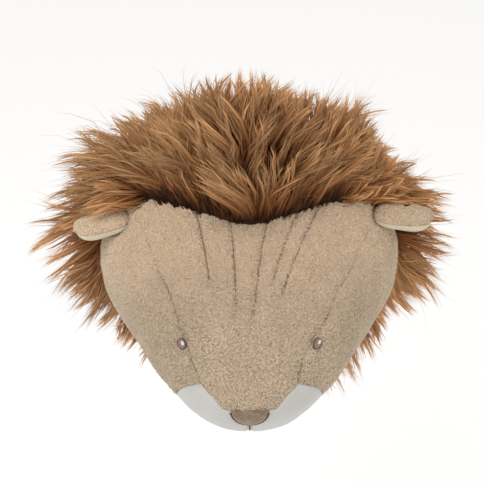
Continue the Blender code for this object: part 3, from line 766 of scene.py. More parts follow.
# %% Painted light and shade on the plush
# Changes of tone: a shift everywhere, painted light beside the ears, painted shade low on the front, more painted
# shade there on the lamp's side, painted shadow along a seam
TONE_SHIFT, PAINTED_LIGHT_BY_EARS, PAINTED_SHADE_LOW, PAINTED_SHADE_LAMP_SIDE, PAINTED_SEAM_SHADE = 0.04, 0.10, -0.18, -0.16, -0.35
SEAM_SHADOW = 0.0014


def painted_light_and_shade(points):
    """Painted light beside the ears, against the fur's shadow on the top of the face, and painted shade low on the
    front, where the lamp lights it most, more so on the lamp's side, and along the side seams.
    """
    across, along, _ = to_head(points)
    low = smooth_step(0.07, 0.14, along)
    seam = sum(np.exp(-((nearest(points, line) / SEAM_SHADOW) ** 2)) for line in side_lines)
    seam = seam * smooth_step(0.08, 0.12, along)
    by_ears = smooth_step(0.045, 0.085, np.abs(across)) * smooth_step(0.10, 0.05, along)
    lamp_side = smooth_step(0.02, 0.06, -across)
    return TONE_SHIFT + PAINTED_LIGHT_BY_EARS * by_ears + (PAINTED_SHADE_LOW + PAINTED_SHADE_LAMP_SIDE * lamp_side) * low + PAINTED_SEAM_SHADE * seam


# %% Head skin
HEAD_ROWS, HEAD_COLUMNS = 136, 324
SINK_UNDER_MUZZLE = 0.0022
CURL_BUMP, CURL_BUMP_SIZE = 0.00045, 0.0026
place, angle = skin_net(HEAD_ROWS, HEAD_COLUMNS)
bare = head_surface(place, angle)
head_normal = normals_of(bare)
under_white = smooth_step(-0.0016, 0.0010, muzzle_depth(bare))
curls = noise_at(bare, CURL_BUMP_SIZE, 9.0)
swell = puff(bare)
lift = swell + CURL_BUMP * curls * (1 - under_white) - SINK_UNDER_MUZZLE * under_white
head_rings = bare + head_normal * lift[..., None]
head_rings[0] = bare[0]
# Tone of the head's plush: random lumps, plus painted light and shade
head_tone = 0.5 + 0.2 * noise_at(bare, 0.03, 2.0) + painted_light_and_shade(bare)
# The skin between the curls takes colours near the root's, partly painted shade in the gaps between them
head_skin = loft("Head_skin", head_rings, teddy, reach=0.20 + 0.16 * curls, tone=head_tone)
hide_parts("head")
print("head skin", len(head_skin.data.vertices), "points, puffed", swell.min().round(4), swell.max().round(4))

# %% [markdown]
# ## Teddy pile
#
# Teddy plush is a knit whose yarn stands up in tiny loose curls. From a step away each curl is a short, bent,
# light grain with a darker gap beside it, and neighbouring curls lean the same way in swirls. Particle hair
# could make them, but a frozen mesh keeps the piece whole. So each curl is a closed bent grain of six faces,
# its ends sunk in the skin, scattered over the net by area. None is set on a forehead thread, on an eye or where
# an ear is sewn on. On the side seams they stay, because plush hides such a seam but for a dark line.

# %% Curl maker
CURL_LONG, CURL_WIDE, CURL_TALL, CURL_BEND = 0.0021, 0.00066, 0.00095, 0.0004
CURL_FACES = np.array(((0, 2, 1), (0, 1, 3), (0, 3, 2), (4, 1, 2), (4, 3, 1), (4, 2, 3)))
# Reach at a curl's five points: its sunk ends darkest, partly painted shade in the gaps between the curls
CURL_REACH = (0.05, 0.2, 0.2, 1.0, 0.75)


def scatter(rings, weight, count, chance):
    """Random spots on a net by area and weight: row and column with fractions."""
    a = rings[:-1]
    b = rings[1:]
    wide = np.linalg.norm(np.roll(a, -1, axis=1) - a, axis=2)
    tall = np.linalg.norm(b - a, axis=2)
    share = np.cumsum((wide * tall * (weight[:-1] + weight[1:]) / 2).ravel())
    picks = np.searchsorted(share, chance.random(count) * share[-1])
    row, column = np.divmod(picks, rings.shape[1])
    return row + chance.random(count), column + chance.random(count)


def read_net(values, row, column):
    """Values of a net at rows and columns with fractions."""
    i, j = row.astype(int), column.astype(int)
    u, v = row - i, column - j
    after, beside = np.minimum(i + 1, values.shape[0] - 1), (j + 1) % values.shape[1]
    j = j % values.shape[1]
    if values.ndim == 3:
        u, v = u[:, None], v[:, None]
    near = values[i, j] * (1 - v) + values[i, beside] * v
    far = values[after, j] * (1 - v) + values[after, beside] * v
    return near * (1 - u) + far * u


def curl_piece(name, spots, normal, heading, size, spread, sink, bend, tone):
    """A closed bent grain at each spot: two sunk ends and a three-cornered middle. Spread makes it broader."""
    count = len(spots)
    side = np.cross(normal, heading)
    broad, tall, bend = (value[:, None] for value in (size * spread, CURL_TALL * size, CURL_BEND * bend))
    long, wide = CURL_LONG * broad, CURL_WIDE * broad
    middle = spots + side * bend
    points = np.stack((
        spots - heading * long - normal * sink,
        middle - side * wide - normal * sink * 0.6,
        middle + side * wide - normal * sink * 0.6,
        middle + normal * tall,
        spots + heading * long * 0.9 + normal * (tall * 0.35 - sink * 0.3),
    ), axis=1).reshape(-1, 3)
    corners = (CURL_FACES[None] + len(CURL_REACH) * np.arange(count)[:, None, None]).ravel()
    reach = np.tile(CURL_REACH, (count, 1)).ravel()
    unwrap = np.stack((np.repeat(tone, CURL_FACES.size), reach[corners]), axis=1)
    counts = np.full(len(CURL_FACES) * count, 3)
    return make_piece(name, points, corners, counts, unwrap, teddy, reach, np.repeat(tone, len(CURL_REACH)))


def swirl(spots, normal, size, chance, loose):
    """A direction along the skin at each spot, the same for neighbours and turning from place to place."""
    first = unit(np.cross(normal, np.array((0.3, 0.2, 0.93))))
    second = np.cross(normal, first)
    turn = 2.2 * math.pi * noise_at(spots, size, 31.0) + chance.normal(0, loose, len(spots))
    return first * np.cos(turn)[:, None] + second * np.sin(turn)[:, None]


# %% Teddy pile on the head
CURL_COUNT = 46000
CLEAR_OF_THREAD, CLEAR_OF_EYE, CLEAR_OF_EAR = 0.0006, 0.0048, 0.75
SWIRL_SIZE, SWIRL_LOOSE = 0.0085, 0.55
# Curls on the underside are broader, because fewer are set there
UNDERSIDE, UNDERSIDE_SPREAD = -0.02, 1.3
chance = np.random.default_rng(7)
seen = smooth_step(-0.6, 0.1, np.sin(angle)) * 0.8 + 0.2
on_teddy = 1 - smooth_step(-0.0008, 0.0006, muzzle_depth(bare))
row, column = scatter(head_rings, seen * on_teddy, CURL_COUNT, chance)
spots = read_net(head_rings, row, column)
spot_normal = unit(read_net(head_normal, row, column))
clear = ear_nearness(spots) < CLEAR_OF_EAR
for line in forehead_lines:
    clear &= nearest(spots, line) > CLEAR_OF_THREAD
for place_of_eye in eye_places:
    clear &= np.linalg.norm(spots - place_of_eye, axis=1) > CLEAR_OF_EYE
spots, spot_normal = spots[clear], spot_normal[clear]
_, along, height = to_head(spots)
size = chance.uniform(0.7, 1.3, len(spots)) * (0.95 + 0.28 * smooth_step(0.09, 0.17, along))
spread = np.where(height < UNDERSIDE, UNDERSIDE_SPREAD, 1.0)
heading = swirl(spots, spot_normal, SWIRL_SIZE, chance, SWIRL_LOOSE)
# Tone of each curl: random lumps and spread, plus the same painted light and shade
tone = 0.5 + 0.2 * noise_at(spots, 0.02, 5.0) + painted_light_and_shade(spots) + chance.normal(0, 0.14, len(spots))
tone = np.clip(tone, 0, 1)
half = len(spots) // 2
for word, part in (("a", slice(0, half)), ("b", slice(half, None))):
    bend = chance.normal(0, 1, len(spots[part]))
    curl_piece(f"Head_pile_{word}", spots[part], spot_normal[part], heading[part], size[part], spread[part],
               0.0006, bend, tone[part])
print("curls on the head", len(spots))

# %% [markdown]
# ## The white muzzle
#
# Two panels of smooth, short white plush close the front of the head, joined under the nose by a seam that
# runs down over the chin and leaves a small notch. The panels are stuffed, so they bulge a little on either
# side of it. The piece is the front of the same loft, at its full size inside the seam and sunk outside it.

# %% Muzzle
MUZZLE_ROWS, MUZZLE_COLUMNS, MUZZLE_FIRST_PLACE = 80, 200, 4.9
MUZZLE_RISE, MUZZLE_SINK = 0.0013, 0.0030
MUZZLE_LUMPS = ((0.00012, 0.0016, 3.0), (0.0004, 0.014, 8.0))
CHIN_PULL, CHIN_SINK = (0.0003, 0.010, 0.007, 0.0019, 0.0017), 0.0006
place, angle = skin_net(MUZZLE_ROWS, MUZZLE_COLUMNS, MUZZLE_FIRST_PLACE)
bare = head_surface(place, angle)
depth = muzzle_depth(bare)
outside = 1 - smooth_step(-0.0024, 0.0006, depth)
_, along, height = to_head(bare)
below_nose = smooth_step(0.002, -0.006, height)
bulge = pulled_in(nearest(bare, chin_line, LINE_REACH), *CHIN_PULL) - CHIN_SINK
plump = MUZZLE_RISE * smooth_step(-0.0022, 0.0014, depth)
plump *= 1 - 0.9 * smooth_step(0.008, -0.004, height) * smooth_step(0.184, 0.198, along)
lift = plump + bulge * below_nose + lumps_on(bare, MUZZLE_LUMPS) - MUZZLE_SINK * outside
muzzle = loft("Muzzle_skin", bare + normals_of(bare) * lift[..., None], white)
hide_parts("muzzle")
print("muzzle", len(muzzle.data.vertices), "points")

# %% [markdown]
# ## Nose and its thread
#
# The nose is a small half-disc of velvet, padded and sewn on over the muzzle, with a close dark stitch round
# its curved edge. It is lofted from its rim to its middle, each ring raised off the muzzle a little more.
# Threads are drawn as tubes that swell in the middle of each stitch and dip where it enters the cloth.

# %% Nose
NOSE_HALF_WIDTH, NOSE_TOP, NOSE_DEPTH, NOSE_CORNER = 0.0152, 0.0210, 0.0141, math.radians(20)
NOSE_BOTTOM = NOSE_TOP - NOSE_DEPTH
NOSE_MIDDLE = NOSE_TOP - NOSE_DEPTH * 0.45
# Each ring: its share of the outline, and how far it stands off the muzzle
NOSE_RINGS = ((1.0, -0.0006), (1.0, 0.0016), (0.985, 0.0024), (0.95, 0.0030), (0.88, 0.0035), (0.75, 0.0039),
              (0.6, 0.0042), (0.45, 0.0043), (0.3, 0.0044), (0.15, 0.0044))
NOSE_LUMPS = ((0.00012, 0.002, 6.0),)


def nose_outline(grow, count):
    """The curved edge as (across, height) from corner to corner."""
    wide = NOSE_HALF_WIDTH / math.cos(NOSE_CORNER) + grow
    deep = NOSE_DEPTH / (1 - math.sin(NOSE_CORNER))
    turn = np.linspace(NOSE_CORNER, math.pi - NOSE_CORNER, count)
    return wide * np.cos(turn), NOSE_BOTTOM + deep - (deep + grow) * np.sin(turn)


def tube(name, path, radius, finish, sides=8, side_hint=(0.0, 1.0, 0.0)):
    """A closed tube along a path, with a radius at each point of it."""
    heading = unit(np.gradient(path, axis=0))
    first = unit(np.cross(heading, np.asarray(side_hint)))
    second = np.cross(heading, first)
    turn = 2 * math.pi * np.arange(sides) / sides
    spoke = first[:, None, :] * np.cos(turn)[None, :, None] + second[:, None, :] * np.sin(turn)[None, :, None]
    rings = path[:, None, :] + spoke * np.asarray(radius)[:, None, None]
    return loft(name, rings, finish, first=path[0], last=path[-1])


curve_across, curve_height = nose_outline(0.0, 49)
top_across = np.linspace(curve_across[-1], curve_across[0], 29)[1:-1]
outline_across = np.concatenate((curve_across, top_across))
outline_height = np.concatenate((curve_height, np.full(len(top_across), NOSE_TOP))) - NOSE_MIDDLE
nose_rings = np.array([
    in_front(outline_across * scale, NOSE_MIDDLE + outline_height * scale, lift) for scale, lift in NOSE_RINGS
])
nose_rings[3:] += lumps_on(nose_rings[3:], NOSE_LUMPS)[..., None] * FORWARD
nose = loft("Nose_velvet", nose_rings, velvet)
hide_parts("nose")


# %% Threads of the nose and mouth
def stitched(name, path, outward, pitch, radius, rise, finish):
    """A thread sewn along a path: it swells and lifts within each stitch and dips at its ends."""
    outward = np.broadcast_to(outward, path.shape)
    length = np.concatenate(([0.0], np.cumsum(np.linalg.norm(np.diff(path, axis=0), axis=1))))
    stitches = max(1, round(length[-1] / pitch))
    fine = np.linspace(0, length[-1], stitches * STEPS_PER_STITCH + 1)
    line = np.stack([np.interp(fine, length, path[:, k]) for k in range(3)], axis=1)
    out = unit(np.stack([np.interp(fine, length, outward[:, k]) for k in range(3)], axis=1))
    wave = np.abs(np.sin(math.pi * fine / length[-1] * stitches)) ** 0.6
    return tube(name, line + out * (rise * wave)[:, None], radius * (0.62 + 0.38 * wave), finish)


STEPS_PER_STITCH = 8
# A thread: length of a stitch, radius, and how far a stitch arches
NOSE_THREAD, MOUTH_THREAD = (0.0022, 0.00085, 0.0005), (0.0040, 0.00065, 0.0004)
EDGE_GROW, EDGE_LIFT = 0.0007, 0.0017
MOUTH_FROM, MOUTH_TO, MOUTH_LIFT, MOUTH_STEPS = NOSE_BOTTOM - 0.0016, NOSE_BOTTOM - 0.018, -0.0004, 60
edge_across, edge_height = (part[2:-2] for part in nose_outline(EDGE_GROW, 120))
edge = in_front(edge_across, edge_height, EDGE_LIFT)
nose_thread = stitched("Nose_edge_thread", edge, FORWARD, *NOSE_THREAD, dark_thread)
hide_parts("nose_stitch")
mouth = in_front(np.zeros(MOUTH_STEPS), np.linspace(MOUTH_FROM, MOUTH_TO, MOUTH_STEPS), MOUTH_LIFT)
mouth_thread = stitched("Mouth_thread", mouth, FORWARD, *MOUTH_THREAD, dark_thread)
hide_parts("mouth_stitch")
print("nose thread", nose_thread.dimensions[:], "mouth thread", mouth_thread.dimensions[:])

# %% [markdown]
# ## Forehead threads
#
# Each forehead line is one strand of brown thread in long backstitches, pulled down into the pile, so that
# curls lean over it from both sides.

# %% Forehead threads
FOREHEAD_THREAD, FOREHEAD_SINK = (0.0046, 0.00044, 0.0005), 0.0007
for number, (start, end) in enumerate(FOREHEAD_STITCHES, 1):
    across, along = stitch_line(start, end, 200)
    line = on_top(across, along, -FOREHEAD_SINK)
    out = unit(on_top(across, along, 0.01) - line)
    thread = stitched(f"Forehead_thread_{number}", line, out, *FOREHEAD_THREAD, brown_thread)
    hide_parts(f"forehead_stitch_{number}")
print("forehead threads", number)

# %% [markdown]
# ## Embroidered eyes
#
# Each eye is a small oval worked in satin stitch: short parallel threads side by side, with a dark outline
# round them and a few white stitches for a glint. Each thread is a bent grain that arches over the stuffing.

# %% Satin stitch
EYE_HALF_WIDTH, EYE_HALF_LENGTH, EYE_TURN = 0.0032, 0.0046, math.radians(28)
EYE_SITS = 0.0010


def eye_axes(side):
    """An eye's place, and its directions: to the picture's left, forward along the head, and out of the skin."""
    across, step = side * EYE_ACROSS, 0.002
    here = on_top(across, EYE_ALONG)
    forward = unit(on_top(across, EYE_ALONG + step) - here)
    sideways = unit(on_top(across + step, EYE_ALONG) - here)
    outward = unit(np.cross(sideways, forward))
    outward = outward if outward[2] > 0 else -outward
    leftward = np.cross(forward, outward)
    turned = math.cos(side * EYE_TURN) * leftward - math.sin(side * EYE_TURN) * forward
    return here, turned, np.cross(outward, turned), outward


def satin(name, side, middle, finish, half_width, half_length, threads, rise):
    """Parallel threads across an oval, as one piece."""
    here, leftward, forward, out = eye_axes(side)
    share = np.linspace(-1, 1, 9)
    radius = half_length / threads * 1.25
    tubes = []
    for v in np.linspace(-1, 1, threads + 2)[1:-1]:
        x = middle[0] + share * half_width * math.sqrt(1 - v * v)
        y = middle[1] + v * half_length + 0.00012 * share
        dome = 1 - (x / EYE_HALF_WIDTH * 0.8) ** 2 - (y / EYE_HALF_LENGTH * 0.8) ** 2
        z = rise * np.sqrt(np.clip(dome, 0.05, 1)) - EYE_SITS - 0.0004 * share**6
        line = here + np.outer(x, leftward) + np.outer(y, forward) + np.outer(z, out)
        tubes.append(tube("thread", line, radius * np.sqrt(1 - 0.6 * share**4), finish, 6, out))
    return joined(name, tubes)


def joined(name, pieces):
    """Several small meshes made into one piece."""
    base = pieces[0]
    chosen = dict(active_object=base, object=base, selected_objects=pieces, selected_editable_objects=pieces)
    with bpy.context.temp_override(**chosen):
        bpy.ops.object.join()
    base.name = base.data.name = name
    return base


# %% Eyes
# Satin: half width, half length, number of threads, and how high they arch
EYE_FILL = (EYE_HALF_WIDTH, EYE_HALF_LENGTH, 13, 0.0017)
EYE_GLINT = (0.0011, 0.0020, 5, 0.0024)
EYE_OUTLINE, OUTLINE_GROW = (0.0020, 0.00042, 0.0003), 0.0002
# Side of the head, and where the glint sits in the eye's own directions
EYES = (("left", -1, (-0.0014, 0.0006)), ("right", 1, (-0.0004, -0.0016)))
turn = np.linspace(0, 2 * math.pi, 97)
ring_across = np.cos(turn) * (EYE_HALF_WIDTH + OUTLINE_GROW)
ring_along = np.sin(turn) * (EYE_HALF_LENGTH + OUTLINE_GROW)
for word, side, glint_place in EYES:
    here, leftward, forward, out = eye_axes(side)
    fill = satin(f"Eye_fill_{word}", side, (0, 0), eye_thread, *EYE_FILL)
    ring = here + np.outer(ring_across, leftward) + np.outer(ring_along, forward) - EYE_SITS * 0.6 * out
    stitched(f"Eye_outline_{word}", ring, out, *EYE_OUTLINE, eye_outline_thread)
    satin(f"Eye_glint_{word}", side, glint_place, eye_glint_thread, *EYE_GLINT)
    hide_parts(f"eye_{word}")
print("eyes at", [place.round(4).tolist() for place in eye_places])

# %% [markdown]
# ## Ears
#
# Each ear is a small flat bag: teddy plush on the outside, smooth cloth inside, turned through and sewn on
# folded forward, so that the teddy side is up and the lining shows as a crescent along the lower edge. Both
# halves are lofts of the same cupped oval, and curls are scattered on the teddy one. The right ear has a small
# fold at its back, and in both the seam between the halves tilts up towards the tip.

# %% Form of an ear
EAR_BLUNTNESS, EAR_SEAM_TILT = 0.33, 0.32
EAR_END_SPREAD = [0.2, 0.6, 0.93]
EAR_SIDES = 84
# The fold across an ear's back edge: its half width, and how far it goes in and down
FOLD_WIDTH, FOLD_IN, FOLD_DOWN = 0.0042, 0.007, 0.004


def ear_net(frame_matrix, low, high, rows, fold):
    """A cupped oval pad between two shares of its thickness, both ends drawn in. A fold dents its back edge."""
    turn = np.linspace(math.asin(low), math.asin(high), rows)
    share = np.sin(turn)
    spread = np.maximum(1 - np.abs(share) ** EAR_FULLNESS, 0.001) ** EAR_BLUNTNESS
    if low > -1:
        share, spread = np.concatenate(([low] * 3, share)), np.concatenate((EAR_END_SPREAD, spread))
    if high < 1:
        share, spread = np.concatenate((share, [high] * 3)), np.concatenate((spread, EAR_END_SPREAD[::-1]))
    angle = 2 * math.pi * np.arange(EAR_SIDES) / EAR_SIDES
    angle = angle + 0.35 * np.sin(2 * angle) / 2
    x = EAR_LONG * spread[:, None] * signed_power(np.cos(angle), 2 / EAR_SQUARENESS)
    y = EAR_DEEP * spread[:, None] * signed_power(np.sin(angle), 2 / EAR_SQUARENESS)
    tilt = EAR_SEAM_TILT * np.clip(x / EAR_LONG, -1, 1) * (1 - share[:, None] ** 2)
    z = EAR_THICK * (share[:, None] + tilt) + EAR_CUP * (1 - (y / EAR_DEEP) ** 2)
    dent = fold * np.exp(-((x / FOLD_WIDTH) ** 2)) * smooth_step(-0.5 * EAR_DEEP, EAR_DEEP, y)
    local = np.stack((x, y - FOLD_IN * dent, z - FOLD_DOWN * dent, np.ones_like(x)), axis=2)
    return (local @ frame_matrix.T)[..., :3]


# %% Ears
EAR_SPLIT = -0.10
EAR_PAD_FROM, EAR_LINING_TO = EAR_SPLIT + 0.06, EAR_SPLIT - 0.02
EAR_ROWS, EAR_LINING_ROWS = 26, 18
EAR_LUMPS = ((0.0004, 0.0030, 4.0), (0.0005, 0.012, 14.0))
EAR_CURLS, EAR_CURL_SINK = 1500, 0.0005
# How deep each ear's fold is, and how light its plush is painted: the left lighter, as painted light against the
# shadow of the locks lapping over it, the right darker, as painted shade
EAR_FOLD = {"left": 0.0, "right": 1.0}
EAR_PAINTED_LIGHT_AND_SHADE = {"left": 0.85, "right": 0.50}
for (word, side, _, _), matrix in zip(EARS, ear_frames):
    chance = np.random.default_rng(20 + side)
    pad = ear_net(matrix, EAR_PAD_FROM, 1.0, EAR_ROWS, EAR_FOLD[word])
    pad = pad + normals_of(pad) * lumps_on(pad, EAR_LUMPS)[..., None]
    pad, buried = clear_of_head(pad, EAR_SEAM_SINK)
    # Painted light on the left ear's plush, painted shade on the right's
    pad_tone = np.full(pad.shape[:2], EAR_PAINTED_LIGHT_AND_SHADE[word])
    ear = loft(f"Ear_{word}", pad, teddy, reach=0.35 + 0.2 * noise_at(pad, 0.0026), tone=pad_tone)
    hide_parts(f"ear_{word}")
    under = ear_net(matrix, -1.0, EAR_LINING_TO, EAR_LINING_ROWS, EAR_FOLD[word])
    inner = loft(f"Ear_lining_{word}", clear_of_head(under, EAR_SEAM_SINK)[0], lining)
    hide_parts(f"ear_lining_{word}")
    weight = np.where(buried, 0.0, 1.0)
    weight[:3] = 0.0
    row, column = scatter(pad, weight, EAR_CURLS, chance)
    spots = read_net(pad, row, column)
    spot_normal = unit(read_net(normals_of(pad), row, column))
    size = chance.uniform(0.7, 1.2, len(spots))
    heading = swirl(spots, spot_normal, 0.007, chance, 0.5)
    bend = chance.normal(0, 1, len(size))
    # The ear's curls get the same painted light or shade as its pad
    tone = np.clip(EAR_PAINTED_LIGHT_AND_SHADE[word] + chance.normal(0, 0.15, len(size)), 0, 1)
    curl_piece(f"Ear_pile_{word}", spots, spot_normal, heading, size, 1.0, EAR_CURL_SINK, bend, tone)
print("ears done")

# %% [markdown]
# ## The mane's stuffed body
#
# The fur is sewn to a stuffed ring that lies flat on the wall and climbs over the top of the head to the
# hairline. Its form repeats the imported solid. It stops where it meets the head, and its inner wall follows the
# head back, so the two never cross. It is finished as the dark ground of the fur: dark partly as the cloth under
# the fur and partly as painted shade among the roots.

# %% Form of the body
BODY_HALF_WIDTH, BODY_HALF_HEIGHT, BODY_BACK = 0.136, 0.120, -0.0064
BODY_PROFILE = np.array((
    (0.0, 0.0), (0.86, 0.0), (1.0, 0.010), (0.99, 0.018), (0.80, 0.0235), (0.45, 0.024), (0.0, 0.024),
))
FORELOCK_RISE, FORELOCK_POWER = 0.062, 1.1


def body_point(theta, place):
    """Points of the mane's body at angles round it and places along its profile."""
    share, depth = np.moveaxis(curve_through(BODY_PROFILE, place), -1, 0)
    front = np.clip((place - 2) / 2, 0, 1)
    lift = FORELOCK_RISE * np.maximum(0.0, np.sin(theta)) ** FORELOCK_POWER * front
    across, up = np.cos(theta), np.sin(theta)
    radius = BODY_HALF_WIDTH * BODY_HALF_HEIGHT / np.hypot(BODY_HALF_HEIGHT * across, BODY_HALF_WIDTH * up)
    return np.stack((radius * share * across, BODY_BACK - depth - lift, radius * share * up), axis=-1)


# %% Hairline
BODY_SIDES, BODY_GAP, HAIRLINE_WAVES = 200, 0.0012, 28
theta = 2 * math.pi * np.arange(BODY_SIDES) / BODY_SIDES
places = np.linspace(2.0, 5.6, 361)
_, covered = clear_of_head(body_point(theta[None, :], places[:, None]), BODY_GAP)
first_covered = np.where(covered.any(axis=0), covered.argmax(axis=0), len(places) - 1)
slow_waves = np.abs(np.fft.fftfreq(BODY_SIDES, 1 / BODY_SIDES)) < HAIRLINE_WAVES
hair_place = np.real(np.fft.ifft(np.fft.fft(places[first_covered]) * slow_waves))
print("hairline at place", hair_place.min().round(2), "to", hair_place.max().round(2))

# %% Mane body
SOCKET_WIDTH, SOCKET_FLOOR = 0.93, HEAD_BACK + 0.0016
LUMPY_ROWS, LUMP_HEIGHT, LUMP_SIZE = slice(4, 37), 0.0012, 0.012
outer = body_point(theta[None, :], np.linspace(0.15, 1, 12)[:, None] * 2.0)
front = body_point(theta[None, :], 2.0 + (hair_place[None, :] - 2.0) * np.linspace(0, 1, 26)[1:, None])
hairline = front[-1]
socket_floor = SOCKET_WIDTH * hairline
socket_floor[:, 1] = SOCKET_FLOOR
wall = hairline[None] + (socket_floor - hairline)[None] * np.linspace(0, 1, 9)[1:, None, None]
floor_rings = socket_floor[None] * np.array((0.7, 1.0, 0.7)) ** np.arange(1, 6)[:, None, None]
floor_rings[..., 1] = SOCKET_FLOOR
body_rings, _ = clear_of_head(np.concatenate((outer, front, wall, floor_rings)), BODY_GAP)
lumps = noise_at(body_rings, LUMP_SIZE, 3.0)
fading = np.linspace(1, 0, 33)[:, None, None] ** 0.3
body_rings[LUMPY_ROWS] += normals_of(body_rings)[LUMPY_ROWS] * (LUMP_HEIGHT * lumps[LUMPY_ROWS])[..., None] * fading
body_rings[..., 1] = np.minimum(body_rings[..., 1], BODY_BACK)
body_tone = np.full(body_rings.shape[:2], 0.5)
mane_body = loft("Mane_body", body_rings, fur_ground, reach=0.4 + 0.4 * lumps, tone=body_tone)
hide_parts("mane")
print("mane body", len(mane_body.data.vertices), "points")

# %% [markdown]
# ## The long fur
#
# Long pile clings together in locks: strands start apart at the skin and run together towards a shared tip.
# So guides are drawn first, one for each lock, combed outwards from the hairline over the body, lifted off it
# and bent down by their weight. The locks nearest the hairline are drawn back against the body, and a few short
# ones lap over each ear. Then each lock gets its strands, thin closed tapering tubes that converge on the guide,
# some more and some less, and one thick strand at its core, so that the background doesn't show through it. The
# core strand is painted darker, as shade inside the lock. A few strands stray. Roots are dark, partly their own
# colour and partly painted shade among them, and tips are light. Each lock has a tone of its own, with painted
# light on the right side and on the lower mane, where less lamp light falls, and painted shade on the inner locks
# by the hairline.

# %% Roots of the locks
LOCK_COUNT, NET_ROWS = 1650, 40
LOCK_BACK, HAIRLINE_MARGIN = 1.35, 0.015
chance = np.random.default_rng(11)
rowward = np.linspace(0, 1, NET_ROWS)[:, None]
net_place = LOCK_BACK + (hair_place[None, :] - HAIRLINE_MARGIN - LOCK_BACK) * rowward
net_theta = np.broadcast_to(theta[None, :], net_place.shape)
net = body_point(net_theta, net_place)
thick = 1.0 + 0.4 * smooth_step(0.6, 0.9, rowward) + 6.0 * smooth_step(0.94, 1.0, rowward) + 0.3 * np.sin(net_theta)
row, column = scatter(net, thick, LOCK_COUNT, chance)
row_share = row / (NET_ROWS - 1)
lock_theta = column * 2 * math.pi / BODY_SIDES
lock_hair = read_net(np.broadcast_to(hair_place[None, :], net.shape[:2]), row, column) - HAIRLINE_MARGIN
lock_place = LOCK_BACK + (lock_hair - LOCK_BACK) * row_share
lock_inward = np.clip((lock_place - 2.0) / 2.4, 0, 1)
print("locks from the net", LOCK_COUNT)

# %% Guides
GUIDE_STEPS = np.array((0.0, 0.27, 0.55, 0.82, 1.0))
LOCK_STAND = math.radians(31)
LOCK_LENGTH, LOCK_LONGER_INWARD = 0.047, 0.034
LOCK_FALL, LOCK_WAVE, LOCK_SINK = 0.38, 0.045, 0.004
COMB_STEP, COMB_LOWEST_PLACE = 0.4, 2.1
# The mane isn't brushed evenly: angle round it in degrees, and how long the locks are there
BRUSHED = np.array((
    (0, 0.78), (7, 0.87), (15, 0.99), (30, 0.67), (42, 0.64), (54, 0.98), (75, 0.80), (90, 1.04), (105, 0.96),
    (118, 0.94), (127, 0.72), (136, 0.96), (146, 1.15), (153, 0.84), (160, 0.74), (165, 1.14), (171, 1.20),
    (176, 0.97), (181, 0.77), (188, 0.66), (196, 0.62), (205, 0.51), (218, 0.46), (232, 0.54), (300, 0.75),
    (318, 0.56), (328, 0.47), (338, 0.42), (346, 0.62), (353, 0.72),
))


def guide_paths(theta, place, inward, pull):
    """The middle line of each lock, with its sideways direction. Pull draws it another way along its length."""
    root = body_point(theta, place)
    outward = np.stack((np.cos(theta), np.zeros_like(theta), np.sin(theta)), axis=1)
    around = np.stack((-np.sin(theta), np.zeros_like(theta), np.cos(theta)), axis=1)
    before = body_point(theta, np.maximum(place - COMB_STEP, COMB_LOWEST_PLACE))
    combed = unit(before - body_point(theta, np.maximum(place, COMB_LOWEST_PLACE) + COMB_STEP))
    lifted = unit(np.cross(combed, around))
    uneven = 0.55 * noise_at(root, 0.030, 17.0) + chance.normal(0, 0.18, len(theta))
    tilt = (LOCK_STAND * (0.55 + 0.55 * inward + uneven))[:, None]
    start = combed * np.cos(tilt) + lifted * np.sin(tilt)
    curl = (0.50 * noise_at(root, 0.034, 3.0) + chance.normal(0, 0.14, len(theta)))[:, None]
    droop = 0.12 + 0.24 * np.abs(np.cos(theta))
    brushed = np.interp(np.degrees(theta), BRUSHED[:, 0], BRUSHED[:, 1], period=360)
    length = (LOCK_LENGTH + LOCK_LONGER_INWARD * inward) * brushed * chance.uniform(0.86, 1.12, len(theta))
    phase = chance.uniform(0, 2 * math.pi, len(theta))[:, None]
    steps = []
    for share in GUIDE_STEPS:
        bend = share**2
        sweep = start * (share - LOCK_FALL * bend) + outward * LOCK_FALL * bend
        sweep += around * curl * bend + pull * (share - 0.4 * bend)
        sweep += around * LOCK_WAVE * (np.sin(phase + 5.0 * share) - np.sin(phase))
        sweep[:, 2] -= droop * bend
        steps.append(root - start * LOCK_SINK + sweep * length[:, None])
    return np.stack(steps, axis=1), around, combed


# %% Pull on each lock
# Inner locks at the sides are drawn back and up, and all locks below the middle are drawn down
PULL_BACK, PULL_UP, PULL_DOWN, PULL_DOWN_SIDES = 0.85, 1.0, 0.35, 0.30
rise, side_on = np.sin(lock_theta), np.abs(np.cos(lock_theta))
pull = np.zeros((LOCK_COUNT, 3))
swept_up = lock_inward * np.maximum(rise, 0.0) * side_on
pull[:, 1] = PULL_BACK * swept_up
pull[:, 2] = PULL_UP * swept_up - (PULL_DOWN + PULL_DOWN_SIDES * side_on) * smooth_step(0.5, 0.0, rise)
print("most pull", pull.max(axis=0).round(2))

# %% Locks over the ears
# Locks that lap over the ears: how many for each, their angles from the ear's, and where they are drawn
LAP_COUNT, LAP_FROM, LAP_TO = 60, math.radians(-3), math.radians(24)
LAP_PULL = {"left": np.array((0.0, -0.52, -0.38)), "right": np.array((0.15, -0.34, -0.24))}
for word, side, middle, _ in EARS:
    ear_theta = math.atan2(middle.z, middle.x)
    lap_theta = ear_theta + side * chance.uniform(LAP_FROM, LAP_TO, LAP_COUNT)
    lap_hair = np.interp(lap_theta, theta, hair_place, period=2 * math.pi)
    lap_place = lap_hair - chance.uniform(0.02, 0.8, LAP_COUNT)
    lock_theta = np.append(lock_theta, lap_theta)
    lock_place = np.append(lock_place, lap_place)
    lock_inward = np.append(lock_inward, np.zeros(LAP_COUNT))
    pull = np.vstack((pull, LAP_PULL[word] * chance.uniform(0.6, 1.3, (LAP_COUNT, 1))))
LOCKS = len(lock_theta)
print("locks", LOCKS)

